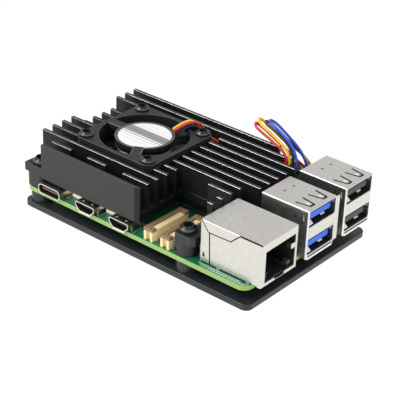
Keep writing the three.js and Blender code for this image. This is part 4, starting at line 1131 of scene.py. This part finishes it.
def build_usb_insert(name, plastic, slot, contact_rows):
    """A dark body with one coloured, contact-bearing tongue behind each mouth."""
    low, high = node_box(f"{name}_insert")
    floor = node_box(f"{name}_shell")[0].z
    front = high.x - 0.05
    (lower_sill, lower_lintel), (upper_sill, _) = USB_LEVELS
    bm = bmesh.new()
    block(bm, low, (low.x + 6, high.y, high.z))
    block(bm, (low.x + 5, low.y, floor + lower_lintel), (front, high.y, floor + upper_sill))
    block(bm, (low.x + 5, low.y, low.z), (front, high.y, floor + lower_sill))
    # A black layer under the shell's top: painted shade, so the slits in the top show dark.
    block(bm, (low.x, low.y + 0.2, high.z - 1), (high.x - 0.6, high.y - 0.2, high.z))
    body = united(bm, [BLACK_PLASTIC])
    for bottom, _ in USB_LEVELS:
        z0, z1 = (floor + bottom + rise for rise in TONGUE_RISE)
        block(body, (low.x + 5.9, low.y + 1, z0), (high.x - 0.35, high.y - 1, z1), material=1,
              bevel=0.2, segments=3)
        for row, (count, pitch, reach) in enumerate(contact_rows):
            start = high.x - 1.2 - row * 4
            for y in spaced((low.y + high.y) / 2, count, pitch):
                block(body, (start - reach, y - 0.45, z0 - 0.08), (start, y + 0.45, z0 + 0.1),
                      material=2, bevel=0.03)
    stand_in(f"{name}_insert", body, [BLACK_PLASTIC, plastic, GOLD], slot)


build_usb_shell("usb3_socket", True)
build_usb_shell("usb2_socket", False)
build_usb_insert("usb3_socket", BLUE_PLASTIC, "blue_plastic", [(5, 2, 0.9), (4, 2.5, 3)])
build_usb_insert("usb2_socket", GREY_PLASTIC, "black_plastic", [(4, 2.5, 4)])

# ---------------------------------------------------------------- sockets on the front edge

BROWN_TONGUE = surface("brown_tongue", (0.10, 0.085, 0.08), (0.15, 0.13, 0.12), (0.4, 0.5),
                       grain=3.0, bump=0.1)
WARM_STEEL = surface("warm_plated_steel", (0.5, 0.43, 0.34), (0.62, 0.55, 0.45), (0.24, 0.36),
                     metallic=1.0, grain=2.0, bump=0.06)


def build_power_socket():
    """A round-ended shell: a plated rim in front of a warm-toned body with a closed back."""
    low, high = node_box("power_socket_shell")
    bm = bmesh.new()
    outer = rounded(low.x, high.x, low.z, high.z, 1.35, 8)
    inner = rounded(low.x + 0.26, high.x - 0.26, low.z + 0.26, high.z - 0.26, 1.1, 8)
    sheet(bm, [outer, inner], low.y, high.y - 0.3, normal="y", bevel=0.1, angle=50, side=1)
    sheet(bm, [rounded(low.x + 0.1, high.x - 0.1, low.z + 0.1, high.z - 0.1, 1.2, 8)],
          high.y - 0.35, high.y, normal="y", material=1)
    legs(bm, (low.x + 0.3, high.x - 0.6), (low.y + 1.8, high.y - 2), (0.3, 1), low.z + 0.9, 1)
    # Painted highlight: the front rim of the plated shell gets the near-white steel.
    paint(bm, 2, lambda _, centre: centre.y < low.y + 0.12)
    stand_in("power_socket_shell", bm, [PLATED, WARM_STEEL, BRIGHT_METAL_AND_HIGHLIGHT], "plated_steel")


def build_power_tongue():
    """A thin tongue with twelve contacts on each side, in front of its moulded back."""
    low, high = node_box("power_socket_tongue")
    bm = bmesh.new()
    centre_z = (low.z + high.z) / 2
    block(bm, (low.x, low.y, centre_z - 0.35), (high.x, high.y - 0.5, centre_z + 0.35), bevel=0.12)
    block(bm, (low.x + 0.02, high.y - 1, low.z), (high.x - 0.02, high.y, high.z), bevel=0.1)
    for x in spaced((low.x + high.x) / 2, 12, 0.5):
        for z in (centre_z - 0.38, centre_z + 0.3):
            block(bm, (x - 0.13, low.y + 0.5, z), (x + 0.13, low.y + 3.4, z + 0.08), material=1)
    stand_in("power_socket_tongue", bm, [BROWN_TONGUE, GOLD], "black_plastic")


def video_outline(low, high, inset):
    """A flat-topped mouth whose lower corners slant in."""
    x0, x1 = low.x + inset, high.x - inset
    z0, z1 = low.z + inset, high.z - inset
    slant = 1.5 - inset / 2
    corner = 0.3 - inset / 2
    return [(x0 + slant, z0), (x1 - slant, z0), (x1 - 0.1, z0 + slant * 0.9), (x1, z0 + slant),
            (x1, z1 - corner), (x1 - corner, z1), (x0 + corner, z1), (x0, z1 - corner),
            (x0, z0 + slant), (x0 + 0.1, z0 + slant * 0.9)]


def build_video_socket(index):
    """A shell like the power socket's, with two spring catches cut in its top."""
    low, high = node_box(f"video_socket_{index}_shell")
    steel = [PLATED, WARM_STEEL, BRIGHT_METAL_AND_HIGHLIGHT]
    bm = bmesh.new()
    sheet(bm, [video_outline(low, high, 0), video_outline(low, high, 0.25)], low.y, high.y - 0.3,
          normal="y", bevel=0.08, angle=50, side=1)
    sheet(bm, [video_outline(low, high, 0.1)], high.y - 0.35, high.y, normal="y", material=1)
    catches = spaced((low.x + high.x) / 2, 2, 3.6)
    tool = bmesh.new()
    for x in catches:
        slit = [(x - 0.5, low.y + 1.2), (x - 0.5, low.y + 3.6), (x + 0.5, low.y + 3.6),
                (x + 0.5, low.y + 1.2)]
        sheet(tool, [ribbon(slit, 0.22)], high.z - 0.7, high.z + 0.5)
    shell = carved(bm, tool, steel)
    # Painted highlight: the front rim of the plated shell gets the near-white steel.
    paint(shell, 2, lambda _, centre: centre.y < low.y + 0.1)
    legs(shell, (low.x, high.x - 0.2), (low.y + 1.6, high.y - 1.8), (0.25, 0.9), low.z + 1.8, 1)
    flare = 1.45
    block(shell, (low.x + flare, low.y, low.z - 0.35), (high.x - flare, low.y + 0.8, low.z + 0.12),
          material=2, bevel=0.08)
    for x in catches:
        block(shell, (x - 0.4, low.y + 1.3, high.z - 0.12), (x + 0.4, low.y + 1.75, high.z + 0.03),
              material=2, bevel=0.03)
    stand_in(f"video_socket_{index}_shell", shell, steel, "plated_steel")


def build_video_tongue(index):
    """A thin tongue with ten contacts below and nine between them above."""
    low, high = node_box(f"video_socket_{index}_tongue")
    bm = bmesh.new()
    block(bm, (low.x + 0.2, low.y, 1.35), (high.x - 0.2, high.y - 0.4, 1.95), bevel=0.1)
    block(bm, (low.x, high.y - 0.9, low.z), (high.x, high.y, high.z), bevel=0.1)
    for count, z in ((10, 1.28), (9, 1.92)):
        for x in spaced((low.x + high.x) / 2, count, 0.4):
            block(bm, (x - 0.11, low.y + 0.2, z), (x + 0.11, low.y + 3.5, z + 0.1), material=1)
    stand_in(f"video_socket_{index}_tongue", bm, [BLACK_PLASTIC, BRIGHT_STEEL],
             "black_plastic")


build_power_socket()
build_power_tongue()
for index in (0, 1):
    build_video_socket(index)
    build_video_tongue(index)


def build_small_socket(name, ways):
    """A cream wire socket seen from its closed side: plain walls, soldered pins and lugs."""
    low, high = node_box(name)
    bm = bmesh.new()
    block(bm, low, high, bevel=0.14, segments=3)
    tool = bmesh.new()
    block(tool, (low.x + 0.45, low.y + 0.6, low.z + 1.2), (high.x - 0.45, high.y - 0.5, high.z + 1))
    for x in (low.x + 0.9, high.x - 1.4):
        block(tool, (x, high.y - 0.7, high.z - 1), (x + 0.5, high.y + 1, high.z + 1))
    # The socket's plastic carries painted light, a faint glow.
    body = carved(bm, tool, [PALE_PLASTIC_PAINTED_GLOW])
    for x in spaced((low.x + high.x) / 2, ways, 1):
        block(body, (x - 0.15, low.y + 1.4, 1), (x + 0.15, low.y + 1.7, high.z - 0.3), material=1,
              bevel=0.05)
        block(body, (x - 0.15, high.y - 0.1, 0.01), (x + 0.15, high.y + 0.5, 0.2), material=1)
    for x in (low.x - 0.25, high.x - 0.15):
        block(body, (x, low.y + 0.8, 0.01), (x + 0.4, low.y + 2.4, 0.9), material=1, bevel=0.05)
    stand_in(name, body, [PALE_PLASTIC_PAINTED_GLOW, SOLDER], "cream_plastic")


build_small_socket("battery_socket", 2)
build_small_socket("debug_socket", 3)

# ---------------------------------------------------------------- ribbon-cable sockets

# The latch's strip as a share of its width, its end heads' length, and the slot for its key.
LATCH_STRIP = 0.42
LATCH_HEAD = 1.75
RIBBON_SLOT = (0.45, 1.3)
LONG_SOCKET = 12


def build_ribbon_socket(name, ways):
    """A long cream trough with a raised back ridge, soldered feet and two end legs."""
    low, high = node_box(name)
    length = high.y - low.y
    bm = bmesh.new()
    has_legs = length > LONG_SOCKET
    front = low.y + (0.9 if has_legs else 0)
    strip_right = low.x + (high.x - low.x) * LATCH_STRIP + 0.12
    block(bm, (low.x + 0.1, front, low.z), (high.x - 0.05, high.y, high.z), bevel=0.08)
    block(bm, (strip_right, low.y + LATCH_HEAD + 0.1, low.z + 1),
          (high.x, high.y - LATCH_HEAD, high.z + 0.65), bevel=0.14, segments=3)
    if has_legs:
        for x in (low.x + 0.1, high.x - 0.95):
            block(bm, (x, low.y, low.z), (x + 0.85, front + 0.6, high.z), bevel=0.08)
    tool = bmesh.new()
    slot_left, slot_right = (low.x + x for x in RIBBON_SLOT)
    block(tool, (slot_left, front + 1, low.z + 0.6), (slot_right, high.y - 1, high.z + 1))
    body = carved(united(bm, [CREAM_PLASTIC]), tool, [CREAM_PLASTIC])
    pitch = (length - 3.4) / ways
    for i in range(ways):
        y = front + 1.5 + (i + 0.5) * pitch
        block(body, (high.x - 0.3, y - 0.1, 0.01), (high.x + 0.4, y + 0.1, 0.16), material=1)
        block(body, (slot_left, y - 0.1, low.z + 0.7), (slot_left + 0.1, y + 0.1, high.z - 0.2),
              material=1)
    for y in (front + 0.2, high.y - 1.2):
        block(body, (high.x - 0.2, y, 0.01), (high.x + 0.5, y + 1, 0.3), material=1, bevel=0.08)
    stand_in(name, body, [CREAM_PLASTIC, SOLDER], "cream_plastic")


def build_latch(name):
    """The lifting bar: a narrow strip with a full-width head at each end, toothed on one side."""
    low, high = node_box(name)
    top = high.z
    bottom = high.z - 0.9
    strip_right = low.x + (high.x - low.x) * LATCH_STRIP
    bm = bmesh.new()
    block(bm, (low.x, low.y + 0.3, bottom), (strip_right, high.y - 0.3, top - 0.05), bevel=0.1)
    for start, end in ((low.y, low.y + LATCH_HEAD), (high.y - LATCH_HEAD, high.y)):
        block(bm, (low.x, start, bottom), (high.x, end, top), bevel=0.12, segments=3)
    slot_left, slot_right = (low.x + x for x in RIBBON_SLOT)
    block(bm, (slot_left + 0.13, low.y + 2.3, low.z), (slot_right - 0.13, high.y - 1.7, bottom + 0.2),
          bevel=0.05)
    tool = bmesh.new()
    teeth = int((high.y - low.y - 3) / 0.9)
    for i in range(teeth):
        y = low.y + LATCH_HEAD + 0.15 + i * 0.9
        block(tool, (low.x - 0.2, y, top - 0.3), (low.x + 0.4, y + 0.35, top + 0.3))
    bar = carved(united(bm, [BROWN_PLASTIC]), tool, [BROWN_PLASTIC])
    stand_in(name, bar, [BROWN_PLASTIC], "brown_plastic", body=name)


for index in (0, 1):
    build_ribbon_socket(f"camera_socket_{index}", 22)
    build_latch(f"camera_latch_{index}")
build_ribbon_socket("expansion_socket", 16)
build_latch("expansion_latch")

# ---------------------------------------------------------------- header, fan plug, chips


HEADER_PITCH = 2.54
HEADER_COLUMNS, HEADER_ROWS = 20, 2
HEADER_BAR_TOP = 2.5
PIN_HALF = 0.32


def header_pins():
    """The pins' places, column by column."""
    low, _ = node_box("pin_header")
    return [(low.x + (column + 0.5) * HEADER_PITCH, low.y + (row + 0.5) * HEADER_PITCH)
            for column in range(HEADER_COLUMNS) for row in range(HEADER_ROWS)]


def build_header():
    """A bar of square cells, with a gold pin through each."""
    _, high = node_box("pin_header")
    bm = bmesh.new()
    half = HEADER_PITCH / 2 - 0.01
    for x, y in header_pins():
        cell = rounded(x - half, x + half, y - half, y + half, 0.5, 1)
        sheet(bm, [cell], 0, HEADER_BAR_TOP, bevel=0.06, segments=1, angle=60)
    for x, y in header_pins():
        block(bm, (x - PIN_HALF, y - PIN_HALF, -BOARD_THICKNESS - 1.2),
              (x + PIN_HALF, y + PIN_HALF, high.z), material=1, bevel=0.16, segments=1)
    stand_in("pin_header", bm, [BLACK_PLASTIC, GOLD], "black_plastic")


def build_fan_socket():
    """The open socket for the plug on the fan's wires."""
    low, high = node_box("fan_socket")
    bm = bmesh.new()
    block(bm, low, high, bevel=0.12)
    tool = bmesh.new()
    block(tool, (low.x + 0.45, low.y + 0.45, 1), (high.x - 0.45, high.y - 0.45, high.z + 1))
    for y in (low.y + 1.2, high.y - 2.2):
        block(tool, (low.x - 1, y, 2.4), (low.x + 1, y + 1, high.z + 1))
    body = carved(bm, tool, [CREAM_PLASTIC])
    stand_in("fan_socket", body, [CREAM_PLASTIC], "cream_plastic")


def build_fan_plug():
    """The plug on the wires, with a slot in front of each contact."""
    low, high = node_box("fan_plug")
    bm = bmesh.new()
    block(bm, low, high, bevel=0.12)
    tool = bmesh.new()
    for y in spaced(PLUG_Y, 4, PITCH):
        block(tool, (PLUG_X + 0.75, y - 0.3, low.z + 1.5), (high.x + 1, y + 0.3, high.z - 0.6))
    plug = carved(bm, tool, [WHITE_PLASTIC])
    stand_in("fan_plug", plug, [WHITE_PLASTIC], "white_plastic")


def build_chip(name, material, slot, step=0.0):
    """A chip package on a thin carrier."""
    low, high = node_box(name)
    bm = bmesh.new()
    block(bm, low, (high.x, high.y, low.z + 0.4), bevel=0.05, material=1)
    block(bm, (low.x + step, low.y + step, low.z + 0.35), (high.x - step, high.y - step, high.z),
          bevel=0.12)
    stand_in(name, bm, [material, MASK], slot)


build_header()
build_fan_socket()
build_fan_plug()
for name, step in (("processor", 1.2), ("wireless_module", 0.3)):
    build_chip(name, BRIGHT_STEEL, "bright_metal", step)
for name, step in (("memory_chip", 0.1), ("io_controller", 0.3), ("power_chip", 0.05)):
    build_chip(name, CHIP, "chip_black", step)
for name in ("processor", "memory_chip", "io_controller", "power_chip"):
    finish_node(f"{name}_pad", PAD, 0.1)
for name, material, bevel in (
        ("card_slot", PLATED_BRUSHED, 0.1), ("power_button_housing", BLACK_PLASTIC, 0.1),
        ("power_button", WHITE_PLASTIC, 0.08), ("status_light", WHITE_PLASTIC, 0.1),
        ("clock_crystal", BRIGHT_STEEL, 0.12), ("power_inductor", CHIP, 0.25)):
    finish_node(name, material, bevel)

# ---------------------------------------------------------------- small parts on the board


def small_part(bm, x, y, length, width, height, upright=False):
    """A surface-mount body with a soldered metal cap at each end."""
    cap = length * 0.22
    spans = ((-length / 2, -length / 2 + cap, 1, 0.02), (-length / 2 + cap, length / 2 - cap, 0, 0),
             (length / 2 - cap, length / 2, 1, 0.02))
    for start, end, material, swell in spans:
        across = width / 2 + swell
        if upright:
            block(bm, (x - across, y + start, 0.01), (x + across, y + end, height + swell),
                  material=material, bevel=0.04)
        else:
            block(bm, (x + start, y - across, 0.01), (x + end, y + across, height + swell),
                  material=material, bevel=0.04)


# Stretches of bare board: (x from, x to, y from, y to, number of parts).
BARE_BOARD = [
    (51.6, 53.5, 1.2, 15.5, 14), (57.8, 58.9, 8.2, 17.5, 6), (43.6, 47.2, 2.2, 5.2, 5),
    (14.6, 16.8, 1.2, 5.6, 5), (30.2, 34.8, 6.0, 8.4, 5), (16.6, 21.4, 11, 18, 0),
    (66.8, 71.2, 19.2, 21.6, 5), (72.4, 86, 19.2, 21.6, 12), (72.4, 86.4, 37.4, 39.6, 12),
    (66.6, 70.8, 36.5, 45.2, 8), (1.2, 4.6, 24.6, 33, 8), (5.4, 9.2, 8, 18, 8),
    (66.6, 70.6, 54.2, 55.2, 3), (59.6, 65.4, 20.4, 22.6, 5), (66.4, 71, 23, 30, 6),
]


def build_small_parts():
    """Capacitors and resistors scattered over the bare stretches, clear of one another."""
    random.seed(7)
    capacitors, resistors = bmesh.new(), bmesh.new()
    taken = []
    for x0, x1, y0, y1, count in BARE_BOARD:
        placed = 0
        for _ in range(count * 8):
            if placed == count:
                break
            length, width = random.choice([(1.0, 0.5), (1.0, 0.5), (1.6, 0.8)])
            upright = random.random() < 0.5
            half_x, half_y = (width / 2, length / 2) if upright else (length / 2, width / 2)
            if x1 - x0 < 2 * half_x + 0.1 or y1 - y0 < 2 * half_y + 0.1:
                continue
            x = random.uniform(x0 + half_x, x1 - half_x)
            y = random.uniform(y0 + half_y, y1 - half_y)
            clear = all(abs(x - a) > half_x + c + 0.2 or abs(y - b) > half_y + d + 0.2
                        for a, b, c, d in taken)
            if not clear:
                continue
            taken.append((x, y, half_x, half_y))
            placed += 1
            if random.random() < 0.6:
                small_part(capacitors, x, y, length, width, width, upright)
            else:
                small_part(resistors, x, y, length, width, 0.35, upright)
    piece("board_capacitors", capacitors, [CERAMIC, SOLDER], "brown_plastic")
    piece("board_resistors", resistors, [CHIP, SOLDER], "chip_black")


def ink_line(bm, points, width=0.15):
    """One printed line on the board."""
    sheet(bm, [ribbon(points, width)], 0, 0.03)


def build_ink():
    """Printed outlines round the sockets; there is no lettering."""
    bm = bmesh.new()
    low, _ = node_box("network_socket_shell")
    ink_line(bm, [(low.x + 0.3, low.y - 0.55), (BOARD_LENGTH - 3, low.y - 0.55)])
    for i in range(14):
        x = low.x + 4.3 + i * 0.9
        ink_line(bm, [(x, 0.9), (x + 0.45, 0.9)], 0.4)
    for name in ("camera_socket_0", "camera_socket_1"):
        low, high = node_box(name)
        left, back = low.x - 0.3, high.y + 0.3
        ink_line(bm, [(left, low.y + 1), (left, back), (high.x + 0.6, back)])
    for index in (0, 1):
        low, high = node_box(f"video_socket_{index}_shell")
        right, back = high.x + 0.6, high.y + 0.4
        ink_line(bm, [(right, 0.6), (right, back), (low.x - 0.6, back)])
    piece("board_markings", bm, [SILK], "white_plastic")


def build_solder():
    """Soldered tails on the board's underside."""
    bm = bmesh.new()
    spots = header_pins()
    for name in ("usb3_socket_shell", "usb2_socket_shell"):
        low, _ = node_box(name)
        spots += [(low.x + 2 + 2 * row, low.y + 2.1 + i * 2.25) for row in range(2) for i in range(5)]
    low, _ = node_box("network_socket_shell")
    spots += [(low.x + 4 + 2.5 * (i % 2), low.y + 3.4 + i * 1.27) for i in range(8)]
    under = -BOARD_THICKNESS
    for spot in spots:
        profile = [(0, under + 0.05), (0.75, under + 0.05), (0.7, under - 0.1), (0.4, under - 0.45),
                   (0.3, under - 0.9), (0, under - 1)]
        lathe(bm, profile[::-1], spot, 10)
    piece("solder_joints", bm, [SOLDER], "plated_steel")


build_small_parts()
build_ink()
build_solder()

# ---------------------------------------------------------------- studio

PLATE_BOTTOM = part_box("base_plate")[0].z
# Lengths in this section are metres, apart from the camera's place in board millimetres.
FLOOR_REACH = 3
FLOOR_GAP = 0.0002
FRONT_SKY = 1.0
BACK_SKY = 0.72
KEY_PLACE = (-0.3, -0.35, 0.5)
KEY_SIZE = (0.3, 0.25)
KEY_POWER = 2
CAMERA_PLACE = Vector((266.44, -244.17, 196.63))
CAMERA_AZIMUTH, CAMERA_ELEVATION, CAMERA_ROLL = 39.089, 29.234, 2.326
CAMERA_SENSOR, CAMERA_LENS = 36, 121.58


def build_floor():
    """A white, self-lit table that takes only a faint shadow."""
    material, tree, shader = new_material("studio_floor")
    set_inputs(tree, shader, {
        "Base Color": mix_colors(tree, noise(tree, 0.02), (0.05,) * 3, (0.06,) * 3),
        "Roughness": 0.9, "Specular IOR Level": 0.0,
        "Emission Color": (1, 1, 1, 1), "Emission Strength": 1.0})
    bm = bmesh.new()
    bmesh.ops.create_grid(bm, x_segments=8, y_segments=8, size=FLOOR_REACH)
    floor = new_object("floor", bm, [material])
    floor.location = (0, 0, PLATE_BOTTOM - FLOOR_GAP)


def build_world():
    """White to the camera; its light is strongest from the front and weaker from behind."""
    world = bpy.data.worlds.new("studio")
    bpy.context.scene.world = world
    world.use_nodes = True
    tree = world.node_tree
    tree.nodes.clear()
    place = tree.nodes.new("ShaderNodeTexCoord")
    split = add_node(tree, "ShaderNodeSeparateXYZ", {"Vector": place.outputs["Generated"]})
    strength = remap(tree, split.outputs["Y"], FRONT_SKY, BACK_SKY, -0.6, 0.7)
    light = add_node(tree, "ShaderNodeBackground", {
        "Color": (1, 0.99, 0.98, 1), "Strength": strength})
    seen = add_node(tree, "ShaderNodeBackground", {"Color": (1, 1, 1, 1), "Strength": 1.0})
    path = tree.nodes.new("ShaderNodeLightPath")
    mix = add_node(tree, "ShaderNodeMixShader", {
        "Fac": path.outputs["Is Camera Ray"], 1: light.outputs["Background"],
        2: seen.outputs["Background"]})
    add_node(tree, "ShaderNodeOutputWorld", {"Surface": mix.outputs["Shader"]})


def build_key_light():
    """A weak, wide lamp from the front left that aims at the object."""
    data = bpy.data.lights.new("key", "AREA")
    data.shape = "RECTANGLE"
    data.size, data.size_y = KEY_SIZE
    data.energy = KEY_POWER
    lamp = bpy.data.objects.new("key", data)
    lamp.location = KEY_PLACE
    lamp.rotation_euler = (-Vector(KEY_PLACE)).to_track_quat("-Z", "Y").to_euler()
    bpy.context.scene.collection.objects.link(lamp)


def build_camera():
    """A long lens over the corner between the network socket and the front edge."""
    azimuth, elevation, roll = (
        math.radians(a) for a in (CAMERA_AZIMUTH, CAMERA_ELEVATION, CAMERA_ROLL))
    back = Vector((math.sin(azimuth) * math.cos(elevation),
                   -math.cos(azimuth) * math.cos(elevation), math.sin(elevation)))
    level = Vector((math.cos(azimuth), math.sin(azimuth), 0))
    upward = back.cross(level)
    right = level * math.cos(roll) + upward * math.sin(roll)
    up = upward * math.cos(roll) - level * math.sin(roll)
    data = bpy.data.cameras.new("camera")
    data.sensor_width = CAMERA_SENSOR
    data.lens = CAMERA_LENS
    data.clip_start = 0.01
    camera = bpy.data.objects.new("camera", data)
    turn = Matrix((right, up, back)).transposed().to_4x4()
    camera.matrix_world = Matrix.Translation(ORIGIN + CAMERA_PLACE * MM) @ turn
    bpy.context.scene.collection.objects.link(camera)
    bpy.context.scene.camera = camera


build_floor()
build_world()
build_key_light()
build_camera()
bpy.context.scene.view_settings.view_transform = "Standard"
